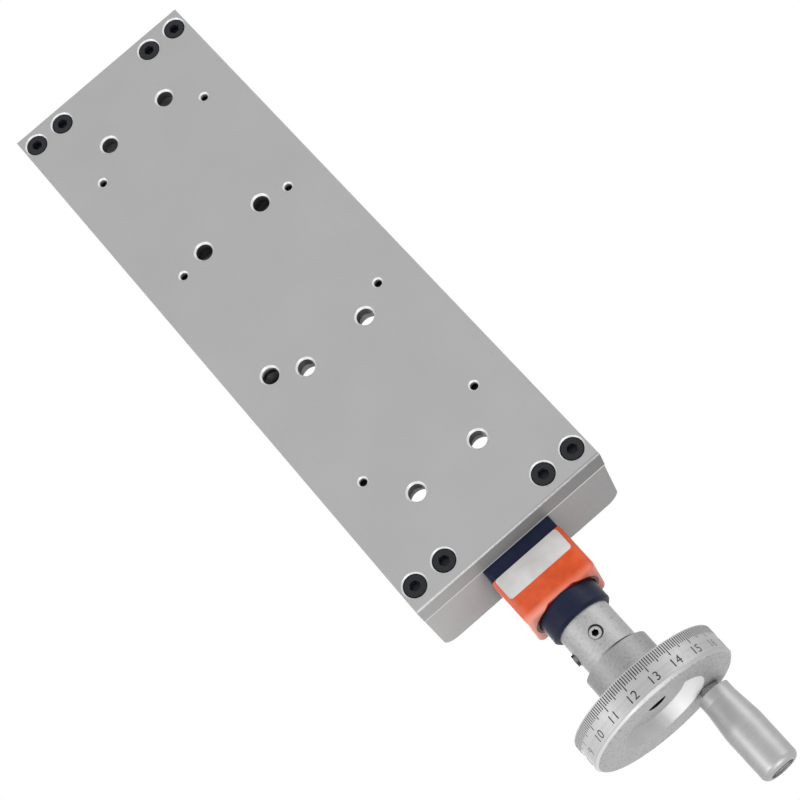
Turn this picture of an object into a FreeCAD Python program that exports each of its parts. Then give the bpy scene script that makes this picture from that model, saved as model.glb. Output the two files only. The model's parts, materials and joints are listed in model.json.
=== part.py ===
import FreeCAD, Part
import os
import re
import Sketcher

# Manual linear slide table: a handwheel turns a lead screw, which moves a table along two rails.
# Millimetres. +X is the operator's right, +Y runs from the handwheel to the far end, +Z is up.
# The origin is the centre of the base plate's underside.

sizes = {
    # base plate
    "plateWidth": 88,
    "plateLength": 278,
    "plateThick": 13,
    "plateChamfer": 0.6,
    "jointChamfer": 0.4,        # upper edges of the plate, lower edges of the blocks
    "baseHoleX": 15,            # fixing holes, each side of the middle
    "baseHoleShift": 2,         # middle of their pattern along Y
    "baseHolePitch": 70,
    "baseHoleRadius": 3.5,
    "baseHeadRadius": 5.5,      # room for a fixing screw's head, sunk from above
    "baseHeadDepth": 7.5,
    "holeChamfer": 0.85,
    "accessHoleRadius": 3.5,    # the one plain hole under a rail
    "tapRadius": 1.65,          # drilled foot of a rail screw's hole
    "tapChamfer": 0.65,
    # end blocks
    "blockSetBack": 1,          # front block behind the plate's front end
    "frontBlockThick": 23,
    "rearBlockThick": 15,
    "blockHeight": 38.5,
    "blockCorner": 6,
    "axisRise": 14.2,           # screw axis above the plate
    # screws that hold the blocks
    "blockScrewInset": 6,       # outer ones, from the plate's sides
    "blockScrewPitch": 14,      # between the two on each side
    "blockScrewEnd": 7.7,       # from the blocks' outer faces
    "blockScrewRadius": 2.5,
    "blockScrewGrip": 12,       # length inside the block
    "blockHeadRadius": 4.25,
    "blockHeadHeight": 5,
    "blockHeadSunk": 0.5,
    "blockHeadChamfer": 0.6,    # round the plate's holes for the heads
    "blockKey": 4,
    # small socket screws, for rails, carriages and nut
    "smallScrewRadius": 2,
    "smallHeadRadius": 3.5,
    "smallHeadHeight": 4,
    "smallHeadSunk": 0.5,
    "smallKey": 3,
    "keyShare": 0.55,           # depth of a hexagon socket, as a share of its head
    "headGap": 0.4,             # round a sunk head
    "threadGap": 0.1,           # round a threaded shank
    # rails
    "railX": 27.5,
    "railWidth": 15,
    "railHeight": 15,
    "railEndGap": 0.5,
    "railHolePitch": 60,
    "railHeadDepth": 5.3,
    "railScrewGrip": 8.5,       # length inside the plate
    "railTopChamfer": 1.2,
    "grooveLow": 6.2,
    "grooveHigh": 12,
    "grooveDepth": 1.6,
    # carriages
    "guideHeight": 28,          # plate to table
    "carriageWidth": 31,
    "carriageLength": 30,
    "carriageLift": 4.3,        # plate to the carriage's underside
    "carriageWaist": 2.4,       # step in the lower flank
    "carriageWaistTop": 10,
    "carriageSpread": 30,       # carriage centre from table centre
    "carriageGap": 0.45,        # carriage to rail
    "carriageScrewX": 11,       # from the carriage's middle
    "carriageScrewGrip": 6,
    "capThick": 4.5,
    "capInset": 0.6,            # cap inside the carriage's outline
    # table
    "tableLength": 100,
    "tableWidth": 88,
    "tableThick": 12,
    "tableChamfer": 0.8,
    "tableRest": 50.5,          # table centre along Y at rest
    "tableHoleX": 27,
    "tableHoleOuterY": 44,
    "tableHoleInnerY": 15,
    "tableHoleRadius": 2.5,
    "tableHoleDepth": 9.5,
    "tableHoleChamfer": 0.45,
    # lead screw and nut
    "screwRadius": 7,
    "frontJournalRadius": 6,
    "rearJournalRadius": 5,
    "screwEndSunk": 0.6,        # front end short of the end of the wheel's bore
    "screwEndChamfer": 0.8,
    "runningGap": 0.06,
    "nutWidth": 20,
    "nutLength": 40,
    "nutBelow": 10,             # nut's underside below the screw axis
    "nutScrewX": 6.5,
    "nutScrewY": 14,
    "nutScrewGrip": 7,
    # front bearings
    "frontRaceRadius": 12,
    "frontRaceWidth": 6,
    "pairGap": 0.1,             # between the two front bearings
    "ringThick": 1.7,
    "shieldThick": 0.5,
    "shieldGap": 0.3,
    "fitGap": 0.02,             # seats pressed or pushed together
    "lipThick": 2,
    "lipRadius": 10,
    "spacerRadius": 8,
    "spacerProud": 0.2,
    "lockNutRadius": 10.5,
    "lockNutThick": 5.5,
    "lockNutSlotWidth": 3.5,
    "lockNutSlotDepth": 1.8,
    "lockNutRoom": 1.5,
    # bearing retainer
    "retainerWidth": 36,
    "retainerHeight": 26,
    "retainerThick": 3,
    "retainerRoom": 0.3,        # round the plate in its recess
    "retainerBoreGap": 0.5,
    "retainerScrewX": 14,
    "retainerScrewZ": 9,
    "retainerScrewRadius": 1.5,
    "retainerScrewGrip": 7,
    "retainerHeadRadius": 2.75,
    "retainerHeadHeight": 1.8,
    "retainerKey": 2,
    # rear bearing
    "rearRaceRadius": 11,
    "rearRaceWidth": 6,
    "rearLip": 6,
    "rearLipGap": 2,            # screw to the lip's bore
    "clipWidth": 1.1,
    "clipRadius": 7,
    "clipGroove": 0.3,
    "clipGapWidth": 5,
    "rearJournalEnd": 1,        # journal past the clip
    # position indicator
    "indicatorWidth": 33,
    "indicatorBaseThick": 6.5,
    "indicatorFront": 27.2,     # front face, out from the block
    "indicatorTop": 31.3,       # above the screw axis
    "indicatorBelow": 14.2,     # below the screw axis
    "inclineStart": 13.8,       # foot of the sloping face, above the axis
    "inclineOut": 12.3,         # top of the sloping face, out from the block
    "housingWall": 2,
    "housingFrontWall": 5,
    "housingRound": 2.4,
    "baseInset": 0.5,           # base inside the housing's outline
    "baseSpigot": 1.5,
    "baseShaftGap": 0.8,
    "collarRadius": 13.1,
    "collarStart": 24.7,
    "collarEnd": 36.1,
    "collarChamfer": 1,
    "collarRoom": 0.5,          # recess round the collar
    "collarRecess": 3,
    "hollowShaftRadius": 8,
    "hollowShaftStart": 0.7,
    "hollowShaftGap": 0.35,
    "collarScrewOut": 30.8,
    "collarScrewRadius": 2,
    "collarScrewLength": 4.6,
    "collarKey": 2,
    "pinRadius": 2.5,
    "pinX": 12,
    "pinZ": 13,
    "pinInBlock": 7,
    "pinInBase": 3,
    "windowWidth": 25.5,
    "windowHeight": 8,
    "windowLip": 1,
    "windowThick": 1.2,
    "drumRadius": 6.1,
    "drumWidth": 6,
    "drumGap": 0.4,
    "drumOut": 13.3,
    "drumRise": 16.4,
    "axleRadius": 1.5,
    "axleSeat": 1,
    # handwheel
    "hubRadius": 11.1,
    "hubStepOut": 54.5,
    "hubWideRadius": 14,
    "rimRadius": 32,
    "rimStart": 69,
    "rimEnd": 81.4,
    "rimChamfer": 1.2,
    "webFillet": 3,
    "recessRadius": 13.4,       # floor of the recess in the front face
    "recessDepth": 4.9,
    "recessFlare": 5.1,         # how much wider the recess is at its mouth
    "faceDish": 0.3,            # front face, hollow from the rim to the recess
    "boreWeb": 3,               # bore past the back of the rim
    "eyeRadius": 4,             # hole in the recess floor
    "hubScrewOut": 45.2,
    "hubScrewRadius": 2.5,
    "lowerScrewLength": 4.5,
    "sideScrewLength": 6.2,     # stands a little proud of the hub
    "hubKey": 2.5,
    # handle
    "crankRadius": 23.5,
    "crankAngle": 141,          # from +X towards +Z
    "spindleRadius": 3,
    "spindleCollarRadius": 4,
    "spindleThread": 8,
    "spindleHeadRadius": 4.7,
    "spindleHeadThick": 3,
    "spindleSlotWidth": 1.2,
    "spindleSlotDepth": 1.4,
    "gripGap": 2.4,             # between the wheel's rim and the grip
    "gripLength": 36.7,
    "gripFootRadius": 6.9,
    "gripFootLength": 4,
    "gripSwellRadius": 8.1,
    "gripSwellRun": 12,
    "gripBlend": 30,
    "gripEndRadius": 8,
    "gripRound": 2.5,
    "gripRecess": 3.6,
    "gripHeadGap": 0.4,
}

# Places and sizes that follow from the ones above
derived = {
    "frontFace": "blockSetBack - plateLength / 2",
    "rearFace": "plateLength / 2",
    "frontInner": "frontFace + frontBlockThick",
    "rearInner": "rearFace - rearBlockThick",
    "spanMiddle": "(frontInner + rearInner) / 2",
    "axisHeight": "plateThick + axisRise",
    "blockScrewOuterX": "plateWidth / 2 - blockScrewInset",
    "blockScrewInnerX": "blockScrewOuterX - blockScrewPitch",
    "tableUnder": "plateThick + guideHeight",
    "railLength": "rearInner - frontInner - 2 * railEndGap",
    "railScrewSeat": "railHeight - railHeadDepth",
    "blockSeat": "blockHeadHeight + blockHeadSunk",
    "tableSeat": "tableThick - smallHeadHeight - smallHeadSunk",
    "bearingStart": "frontBlockThick - retainerThick - 2 * frontRaceWidth - pairGap",
    "lipStart": "bearingStart - lipThick",
    "frontShoulder": "frontBlockThick - retainerThick",
    "rearShoulder": "rearInner + rearLip - frontFace",
    "clipStart": "rearShoulder + rearRaceWidth",
    "clipEnd": "clipStart + clipWidth",
    "frontBore": "frontJournalRadius + fitGap",
    "rearBore": "rearJournalRadius + fitGap",
    "hollowBore": "frontJournalRadius + fitGap",
    "inclineRun": "indicatorFront - inclineOut",
    "inclineRise": "indicatorTop - inclineStart",
    "inclineLength": "sqrt(inclineRun * inclineRun + inclineRise * inclineRise)",
    "inclineAngle": "atan(inclineRise / inclineRun)",
    "cavityFront": "indicatorFront - housingFrontWall",
    "recessFloor": "rimEnd - recessDepth",
    "wheelBoreEnd": "rimStart + boreWeb",
    "screwEndOut": "wheelBoreEnd - screwEndSunk",
    "crankSeat": "rimEnd - faceDish",
    "crankX": "crankRadius * cos(crankAngle)",
    "crankZ": "crankRadius * sin(crankAngle)",
    "gripStart": "rimEnd + gripGap",
    "gripEnd": "gripStart + gripLength",
    "gripNeckOut": "gripStart + gripFootLength",
    "gripSwellOut": "gripNeckOut + gripSwellRun",
    "gripHeadSeat": "gripEnd - gripRecess",
}

doc = FreeCAD.newDocument("SlideTable")
sheet = doc.addObject("Spreadsheet::Sheet", "Sizes")
for row, (name, number) in enumerate(sizes.items(), 1):
    sheet.set("A%d" % row, name)
    sheet.set("B%d" % row, str(number))
    sheet.setAlias("B%d" % row, name)
doc.recompute()
pieces = []


def formula(text):
    def spelled(match):
        word = match.group()
        if word in derived:
            return "(%s)" % formula(derived[word])
        return "Sizes." + word if word in sizes else word
    return re.sub(r"[A-Za-z]\w*", spelled, text)


def bind(item, path, text):
    item.setExpression(path, formula(text))


def origin_feature(body, role):
    return next(item for item in body.Origin.OriginFeatures if item.Role == role)


def new_body(label, x="0", y="0", z="0", turned=FreeCAD.Rotation()):
    body = doc.addObject("PartDesign::Body", label)
    body.Label = label
    body.AllowCompound = True
    body.Placement = FreeCAD.Placement(FreeCAD.Vector(), turned)
    for axis, text in zip("xyz", (x, y, z)):
        bind(body, "Placement.Base." + axis, text)
    pieces.append(body)
    return body


# Sketches: every point is held by its two lengths from the origin

def draw(body, role, lift="0"):
    drawing = body.newObject("Sketcher::SketchObject", body.Label + "_sketch")
    drawing.AttachmentSupport = [(origin_feature(body, role), "")]
    drawing.MapMode = "FlatFace"
    bind(drawing, "AttachmentOffset.Base.z", lift)
    return drawing


def hold_point(drawing, index, end, across, up):
    for kind, text in (("DistanceX", across), ("DistanceY", up)):
        place = drawing.addConstraint(Sketcher.Constraint(kind, -1, 1, index, end, 1.0))
        bind(drawing, "Constraints[%d]" % place, text)


def outline(drawing, points):
    first = drawing.GeometryCount
    count = len(points)
    ring = [FreeCAD.Rotation(FreeCAD.Vector(0, 0, 1), 360 * k / count) for k in range(count)]
    corners = [turn.multVec(FreeCAD.Vector(10 + first, 0, 0)) for turn in ring]
    for k in range(count):
        drawing.addGeometry(Part.LineSegment(corners[k], corners[(k + 1) % count]), False)
    for k in range(count):
        following = first + (k + 1) % count
        drawing.addConstraint(Sketcher.Constraint("Coincident", first + k, 2, following, 1))
    for k, (across, up) in enumerate(points):
        hold_point(drawing, first + k, 1, across, up)
    return drawing


def rectangle(drawing, width, height, across="0", up="0"):
    left = "%s - (%s) / 2" % (across, width)
    right = "%s + (%s) / 2" % (across, width)
    low = "%s - (%s) / 2" % (up, height)
    high = "%s + (%s) / 2" % (up, height)
    return outline(drawing, [(left, low), (right, low), (right, high), (left, high)])


def circles(drawing, places, radius):
    for across, up in places:
        spot = FreeCAD.Vector(3 * drawing.GeometryCount + 1, 1, 0)
        index = drawing.addGeometry(Part.Circle(spot, FreeCAD.Vector(0, 0, 1), 1), False)
        hold_point(drawing, index, 3, across, up)
        place = drawing.addConstraint(Sketcher.Constraint("Radius", index, 1.0))
        bind(drawing, "Constraints[%d]" % place, radius)
    return drawing


def hexagons(drawing, places, flats):
    for across, up in places:
        corner = "(%s) / sqrt(3)" % flats
        points = []
        for angle in range(0, 360, 60):
            points.append(("%s + %s * cos(%d)" % (across, corner, angle), "%s + %s * sin(%d)" % (up, corner, angle)))
        outline(drawing, points)
    return drawing


def both_sides(points):
    return points + [("-(%s)" % across, up) for across, up in reversed(points)]


# Features

def add(body, drawing, length, against=False, symmetric=False):
    feature = body.newObject("PartDesign::Pad", body.Label + "_pad")
    feature.Profile = drawing
    feature.Reversed = against
    feature.SideType = "Symmetric" if symmetric else "One side"
    bind(feature, "Length", length)
    doc.recompute()


def cut(body, drawing, depth, along=False, symmetric=False):
    before = body.Shape.Volume
    feature = body.newObject("PartDesign::Pocket", body.Label + "_pocket")
    feature.Profile = drawing
    feature.Reversed = along
    feature.SideType = "Symmetric" if symmetric else "One side"
    bind(feature, "Length", depth)
    doc.recompute()
    if not body.Shape.Volume < before:
        raise RuntimeError("a cut in %s removes nothing" % body.Label)


def turned(body, *profiles):
    drawing = draw(body, "XY_Plane")
    for profile in profiles:
        outline(drawing, profile)
    feature = body.newObject("PartDesign::Revolution", body.Label + "_turned")
    feature.Profile = drawing
    feature.ReferenceAxis = (drawing, ["V_Axis"])
    feature.Angle = 360
    doc.recompute()


def bored(body, profile):
    before = body.Shape.Volume
    drawing = outline(draw(body, "XY_Plane"), profile)
    feature = body.newObject("PartDesign::Groove", body.Label + "_bored")
    feature.Profile = drawing
    feature.ReferenceAxis = (drawing, ["V_Axis"])
    feature.Angle = 360
    doc.recompute()
    if not body.Shape.Volume < before:
        raise RuntimeError("a bore in %s removes nothing" % body.Label)


def dressed(body, kind, path, amount, wanted):
    base = body.Tip
    names = ["Edge%d" % k for k, edge in enumerate(base.Shape.Edges, 1) if wanted(edge)]
    if not names:
        raise RuntimeError("no edge to dress in %s" % body.Label)
    feature = body.newObject("PartDesign::" + kind, body.Label + "_" + kind.lower())
    feature.Base = (base, names)
    bind(feature, path, amount)
    doc.recompute()


def chamfered(body, amount, wanted):
    dressed(body, "Chamfer", "Size", amount, wanted)


def rounded(body, amount, wanted):
    dressed(body, "Fillet", "Radius", amount, wanted)


def is_circle(edge, radius):
    return isinstance(edge.Curve, Part.Circle) and abs(edge.Curve.Radius - radius) < 1e-6


# Socket-head screws: seat of the head at height 0, shank downwards, head upwards
def socket_screws(body, places, kind, length):
    add(body, circles(draw(body, "XY_Plane"), places, kind + "HeadRadius"), kind + "HeadHeight")
    add(body, circles(draw(body, "XY_Plane"), places, kind + "ScrewRadius"), length, against=True)
    drawing = hexagons(draw(body, "XY_Plane", kind + "HeadHeight"), places, kind + "Key")
    cut(body, drawing, kind + "HeadHeight * keyShare")


upside_down = FreeCAD.Rotation(FreeCAD.Vector(1, 0, 0), 180)
facing_rear = FreeCAD.Rotation(FreeCAD.Vector(1, 0, 0), -90)
facing_right = FreeCAD.Rotation(FreeCAD.Vector(0, 1, 0), 90)

rail_steps = ["railHolePitch * %s" % share for share in (-1.5, -0.5, 0.5, 1.5)]
block_screw_xs = ["blockScrewOuterX", "blockScrewInnerX", "-blockScrewInnerX", "-blockScrewOuterX"]
base_hole_ys = ["baseHoleShift + baseHolePitch * %s" % share for share in (-1.5, -0.5, 0.5, 1.5)]
access_place = ("railX", "spanMiddle + " + rail_steps[1])
rail_screw_places = []
for side in ("railX", "-railX"):
    for step in rail_steps:
        rail_screw_places.append((side, "spanMiddle + " + step))
rail_screw_places.remove(access_place)


# Base plate
plate = new_body("base_plate")
add(plate, rectangle(draw(plate, "XY_Plane"), "plateWidth", "plateLength"), "plateThick")
chamfered(plate, "plateChamfer", lambda edge: edge.BoundBox.ZMax < 1e-6)
plate_top = plate.Shape.BoundBox.ZMax
chamfered(plate, "jointChamfer", lambda edge: edge.BoundBox.ZMin > plate_top - 1e-6)
base_holes = [(side, y) for side in ("baseHoleX", "-baseHoleX") for y in base_hole_ys]
cut(plate, circles(draw(plate, "XY_Plane"), base_holes, "baseHoleRadius"), "plateThick", along=True)
drawing = circles(draw(plate, "XY_Plane", "plateThick"), base_holes, "baseHeadRadius")
cut(plate, drawing, "baseHeadDepth")
cut(plate, circles(draw(plate, "XY_Plane"), [access_place], "accessHoleRadius"), "plateThick", along=True)
chamfered(plate, "holeChamfer", lambda edge: edge.BoundBox.ZMax < 1e-6 and isinstance(edge.Curve, Part.Circle))
block_screw_ys = ["frontFace + blockScrewEnd", "rearFace - blockScrewEnd"]
block_screw_places = [(x, y) for y in block_screw_ys for x in block_screw_xs]
drawing = circles(draw(plate, "XY_Plane"), block_screw_places, "blockScrewRadius + threadGap")
cut(plate, drawing, "plateThick", along=True)
drawing = circles(draw(plate, "XY_Plane"), block_screw_places, "blockHeadRadius + headGap")
cut(plate, drawing, "blockSeat", along=True)
seat_radius = sheet.get("blockHeadRadius") + sheet.get("headGap")
chamfered(plate, "blockHeadChamfer", lambda edge: edge.BoundBox.ZMax < 1e-6 and is_circle(edge, seat_radius))
drawing = circles(draw(plate, "XY_Plane", "plateThick"), rail_screw_places, "smallScrewRadius + threadGap")
cut(plate, drawing, "railScrewGrip + threadGap")
cut(plate, circles(draw(plate, "XY_Plane"), rail_screw_places, "tapRadius"), "plateThick", along=True)
tap_radius = sheet.get("tapRadius")
chamfered(plate, "tapChamfer", lambda edge: edge.BoundBox.ZMax < 1e-6 and is_circle(edge, tap_radius))


# End blocks, each with its origin on the screw axis at the face nearer the handwheel
def end_block(label, y, thick, screw_y):
    block = new_body(label, y=y, z="axisHeight")
    shape = rectangle(draw(block, "XZ_Plane"), "plateWidth", "blockHeight", up="blockHeight / 2 - axisRise")
    add(block, shape, thick, against=True)
    top = block.Shape.BoundBox.ZMax - block.Placement.Base.z
    rounded(block, "blockCorner", lambda edge: edge.BoundBox.ZMin > top - 1e-6 and edge.BoundBox.XLength < 1e-6)
    foot = block.Shape.BoundBox.ZMin - block.Placement.Base.z
    chamfered(block, "jointChamfer", lambda edge: edge.BoundBox.ZMax < foot + 1e-6)
    taps = [(x, screw_y) for x in block_screw_xs]
    drawing = circles(draw(block, "XY_Plane", "-axisRise"), taps, "blockScrewRadius + threadGap")
    cut(block, drawing, "blockScrewGrip + threadGap", along=True)
    return block


front_block = end_block("front_block", "frontFace", "frontBlockThick", "blockScrewEnd")
bored(front_block, [
    ("0", "0"), ("lockNutRadius + lockNutRoom", "0"), ("lockNutRadius + lockNutRoom", "lipStart"),
    ("lipRadius", "lipStart"), ("lipRadius", "bearingStart"),
    ("frontRaceRadius + fitGap", "bearingStart"), ("frontRaceRadius + fitGap", "frontBlockThick"),
    ("0", "frontBlockThick")])
recess = draw(front_block, "XZ_Plane", "-frontBlockThick")
rectangle(recess, "retainerWidth + 2 * retainerRoom", "retainerHeight + 2 * retainerRoom")
cut(front_block, recess, "retainerThick", along=True)
retainer_places = [(x, z) for x in ("retainerScrewX", "-retainerScrewX") for z in ("retainerScrewZ", "-retainerScrewZ")]
drawing = circles(draw(front_block, "XZ_Plane", "-frontShoulder"), retainer_places, "retainerScrewRadius + threadGap")
cut(front_block, drawing, "retainerScrewGrip", along=True)
pin_place = [("-pinX", "pinZ")]
drawing = circles(draw(front_block, "XZ_Plane"), pin_place, "pinRadius + fitGap")
cut(front_block, drawing, "pinInBlock")

rear_block = end_block("rear_block", "rearInner", "rearBlockThick", "rearBlockThick - blockScrewEnd")
bored(rear_block, [
    ("0", "0"), ("screwRadius + rearLipGap", "0"), ("screwRadius + rearLipGap", "rearLip"),
    ("rearRaceRadius + fitGap", "rearLip"), ("rearRaceRadius + fitGap", "rearBlockThick"), ("0", "rearBlockThick")])

block_shank = "plateThick - blockSeat + blockScrewGrip"
for label, y in (("front_block_screws", block_screw_ys[0]), ("rear_block_screws", block_screw_ys[1])):
    group = new_body(label, y=y, z="blockSeat", turned=upside_down)
    socket_screws(group, [(x, "0") for x in block_screw_xs], "block", block_shank)


# Rails: half of the section, from the foot to the top, with room all round for a carriage
def rail_half(room, top):
    side = "railWidth / 2 + " + room
    return [
        (side, "0"), (side, "grooveLow"),
        (side + " - grooveDepth", "grooveLow + grooveDepth"), (side + " - grooveDepth", "grooveHigh - grooveDepth"),
        (side, "grooveHigh")] + top


rail_top = [("railWidth / 2", "railHeight - railTopChamfer"), ("railWidth / 2 - railTopChamfer", "railHeight")]
for label, x in (("left_rail", "-railX"), ("right_rail", "railX")):
    rail = new_body(label, x=x, y="spanMiddle", z="plateThick")
    add(rail, outline(draw(rail, "XZ_Plane"), both_sides(rail_half("0", rail_top))), "railLength", symmetric=True)
    holes = [("0", step) for step in rail_steps]
    drawing = circles(draw(rail, "XY_Plane"), holes, "smallScrewRadius + threadGap")
    cut(rail, drawing, "railHeight", along=True)
    drawing = circles(draw(rail, "XY_Plane", "railHeight"), holes, "smallHeadRadius + headGap")
    cut(rail, drawing, "railHeadDepth")

rail_screws = new_body("rail_screws", z="plateThick + railScrewSeat")
socket_screws(rail_screws, rail_screw_places, "small", "railScrewSeat + railScrewGrip")


# Lead screw, with its origin on its axis at the front face
def on_axis(label):
    return new_body(label, y="frontFace", z="axisHeight")


def flipped(profile):
    return [(radius, "-(%s)" % out) for radius, out in profile]


lead_screw = on_axis("lead_screw")
turned(lead_screw, [
    ("0", "-screwEndOut"), ("frontJournalRadius - screwEndChamfer", "-screwEndOut"),
    ("frontJournalRadius", "screwEndChamfer - screwEndOut"), ("frontJournalRadius", "frontShoulder"),
    ("screwRadius", "frontShoulder"), ("screwRadius", "rearShoulder"),
    ("rearJournalRadius", "rearShoulder"), ("rearJournalRadius", "clipStart"),
    ("rearJournalRadius - clipGroove", "clipStart"), ("rearJournalRadius - clipGroove", "clipEnd"),
    ("rearJournalRadius", "clipEnd"), ("rearJournalRadius", "clipEnd + rearJournalEnd"),
    ("0", "clipEnd + rearJournalEnd")])


# Bearings: plain inner rings, outer rings that carry the two shields
def inner_ring(bore, start, width):
    return [(bore, start), (bore + " + ringThick", start), (bore + " + ringThick", start + " + " + width),
            (bore, start + " + " + width)]


def outer_ring(race, bore, start, width):
    lip = bore + " + ringThick + shieldGap"
    end = start + " + " + width
    return [
        (race, start), (race, end), (lip, end), (lip, end + " - shieldThick"),
        (race + " - ringThick", end + " - shieldThick"), (race + " - ringThick", start + " + shieldThick"),
        (lip, start + " + shieldThick"), (lip, start)]


front_starts = ["bearingStart", "bearingStart + frontRaceWidth + pairGap"]
rings = on_axis("front_bearing_outer_rings")
turned(rings, *[outer_ring("frontRaceRadius", "frontBore", start, "frontRaceWidth") for start in front_starts])
rings = on_axis("front_bearing_inner_rings")
turned(rings, *[inner_ring("frontBore", start, "frontRaceWidth") for start in front_starts])
ring = on_axis("rear_bearing_outer_ring")
turned(ring, outer_ring("rearRaceRadius", "rearBore", "rearShoulder", "rearRaceWidth"))
ring = on_axis("rear_bearing_inner_ring")
turned(ring, inner_ring("rearBore", "rearShoulder", "rearRaceWidth"))

spacer = on_axis("bearing_spacer")
spacer_start = "lipStart - spacerProud"
turned(spacer, [
    ("frontBore", spacer_start), ("spacerRadius", spacer_start), ("spacerRadius", "bearingStart"),
    ("frontBore", "bearingStart")])

lock_nut = on_axis("lock_nut")
nut_front = spacer_start + " - lockNutThick"
turned(lock_nut, [
    ("frontBore", nut_front), ("lockNutRadius", nut_front), ("lockNutRadius", spacer_start), ("frontBore", spacer_start)])
slots = draw(lock_nut, "XZ_Plane", "-(%s)" % nut_front)
for across, up, width, height in (
        ("lockNutRadius", "0", "2 * lockNutSlotDepth", "lockNutSlotWidth"),
        ("-lockNutRadius", "0", "2 * lockNutSlotDepth", "lockNutSlotWidth"),
        ("0", "lockNutRadius", "lockNutSlotWidth", "2 * lockNutSlotDepth"),
        ("0", "-lockNutRadius", "lockNutSlotWidth", "2 * lockNutSlotDepth")):
    rectangle(slots, width, height, across, up)
cut(lock_nut, slots, "lockNutThick")

clip = on_axis("shaft_circlip")
clip_inner = "rearJournalRadius - clipGroove + fitGap"
turned(clip, [
    (clip_inner, "clipStart"), ("clipRadius", "clipStart"), ("clipRadius", "clipEnd"), (clip_inner, "clipEnd")])
drawing = rectangle(draw(clip, "XZ_Plane", "-(clipEnd)"), "clipGapWidth", "2 * clipRadius", up="clipRadius")
cut(clip, drawing, "clipWidth", along=True)

retainer = new_body("bearing_retainer", y="frontInner - retainerThick", z="axisHeight")
add(retainer, rectangle(draw(retainer, "XZ_Plane"), "retainerWidth", "retainerHeight"), "retainerThick", against=True)
drawing = circles(draw(retainer, "XZ_Plane"), [("0", "0")], "screwRadius + retainerBoreGap")
cut(retainer, drawing, "retainerThick")
drawing = circles(draw(retainer, "XZ_Plane"), retainer_places, "retainerScrewRadius + threadGap")
cut(retainer, drawing, "retainerThick")
drawing = circles(draw(retainer, "XZ_Plane", "-retainerThick"), retainer_places, "retainerHeadRadius + headGap")
cut(retainer, drawing, "retainerHeadHeight", along=True)
group = new_body("retainer_screws", y="frontInner - retainerHeadHeight", z="axisHeight", turned=facing_rear)
socket_screws(group, retainer_places, "retainer", "retainerScrewGrip")


# Table, carriages, caps, nut and their screws
table = new_body("slide_table", y="tableRest", z="tableUnder")
add(table, rectangle(draw(table, "XY_Plane"), "tableWidth", "tableLength"), "tableThick")
chamfered(table, "tableChamfer", lambda edge: True)
table_holes = [(x, y) for x in ("tableHoleX", "-tableHoleX")
               for y in ("tableHoleOuterY", "-tableHoleOuterY", "tableHoleInnerY", "-tableHoleInnerY")]
cut(table, circles(draw(table, "XY_Plane", "tableThick"), table_holes, "tableHoleRadius"), "tableHoleDepth")
table_top = table.Shape.BoundBox.ZMax - table.Placement.Base.z
chamfered(table, "tableHoleChamfer",
          lambda edge: edge.BoundBox.ZMin > table_top - 1e-6 and isinstance(edge.Curve, Part.Circle))
carriage_xs = ["%s railX %s carriageScrewX" % (side, shift) for side in ("0 +", "0 -") for shift in "+-"]
carriage_screws = [(x, y) for x in carriage_xs for y in ("carriageSpread", "-carriageSpread")]
nut_screws = [(x, y) for x in ("nutScrewX", "-nutScrewX") for y in ("nutScrewY", "-nutScrewY")]
for places in (carriage_screws, nut_screws):
    drawing = circles(draw(table, "XY_Plane"), places, "smallScrewRadius + threadGap")
    cut(table, drawing, "tableThick", along=True)
    drawing = circles(draw(table, "XY_Plane", "tableThick"), places, "smallHeadRadius + headGap")
    cut(table, drawing, "smallHeadHeight + smallHeadSunk")
for label, places, grip in (
        ("carriage_screws", carriage_screws, "carriageScrewGrip"), ("nut_screws", nut_screws, "nutScrewGrip")):
    group = new_body(label, y="tableRest", z="tableUnder + tableSeat")
    socket_screws(group, places, "small", "tableSeat + " + grip)


def carriage_half(inset, room):
    flank = "carriageWidth / 2 - " + inset
    channel = rail_half(room, [("railWidth / 2 + " + room, "railHeight + " + room)])[1:]
    outside = [
        (flank, "guideHeight - " + inset), (flank, "carriageLift + carriageWaistTop"),
        (flank + " - carriageWaist", "carriageLift + carriageWaistTop - carriageWaist"),
        (flank + " - carriageWaist", "carriageLift + " + inset),
        ("railWidth / 2 + " + room, "carriageLift + " + inset)]
    return outside + channel


for label, x, y in (
        ("front_left", "-railX", "tableRest - carriageSpread"), ("front_right", "railX", "tableRest - carriageSpread"),
        ("rear_left", "-railX", "tableRest + carriageSpread"), ("rear_right", "railX", "tableRest + carriageSpread")):
    carriage = new_body(label + "_carriage", x=x, y=y, z="plateThick")
    drawing = outline(draw(carriage, "XZ_Plane"), both_sides(carriage_half("0", "carriageGap")))
    add(carriage, drawing, "carriageLength", symmetric=True)
    taps = [("carriageScrewX", "0"), ("-carriageScrewX", "0")]
    drawing = circles(draw(carriage, "XY_Plane", "guideHeight"), taps, "smallScrewRadius + threadGap")
    cut(carriage, drawing, "carriageScrewGrip + threadGap")
    caps = new_body(label + "_end_caps", x=x, y=y, z="plateThick")
    for lift, against in (("carriageLength / 2", False), ("-carriageLength / 2", True)):
        section = both_sides(carriage_half("capInset", "carriageGap"))
        add(caps, outline(draw(caps, "XZ_Plane", lift), section), "capThick", against=against)

lead_nut = new_body("lead_nut", y="tableRest", z="axisHeight")
nut_above = "tableUnder - axisHeight"
nut_face = rectangle(draw(lead_nut, "XZ_Plane"), "nutWidth", "nutBelow + " + nut_above,
                     up="(%s - nutBelow) / 2" % nut_above)
circles(nut_face, [("0", "0")], "screwRadius + runningGap")
add(lead_nut, nut_face, "nutLength", symmetric=True)
drawing = circles(draw(lead_nut, "XY_Plane", nut_above), nut_screws, "smallScrewRadius + threadGap")
cut(lead_nut, drawing, "nutScrewGrip + threadGap")


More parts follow.
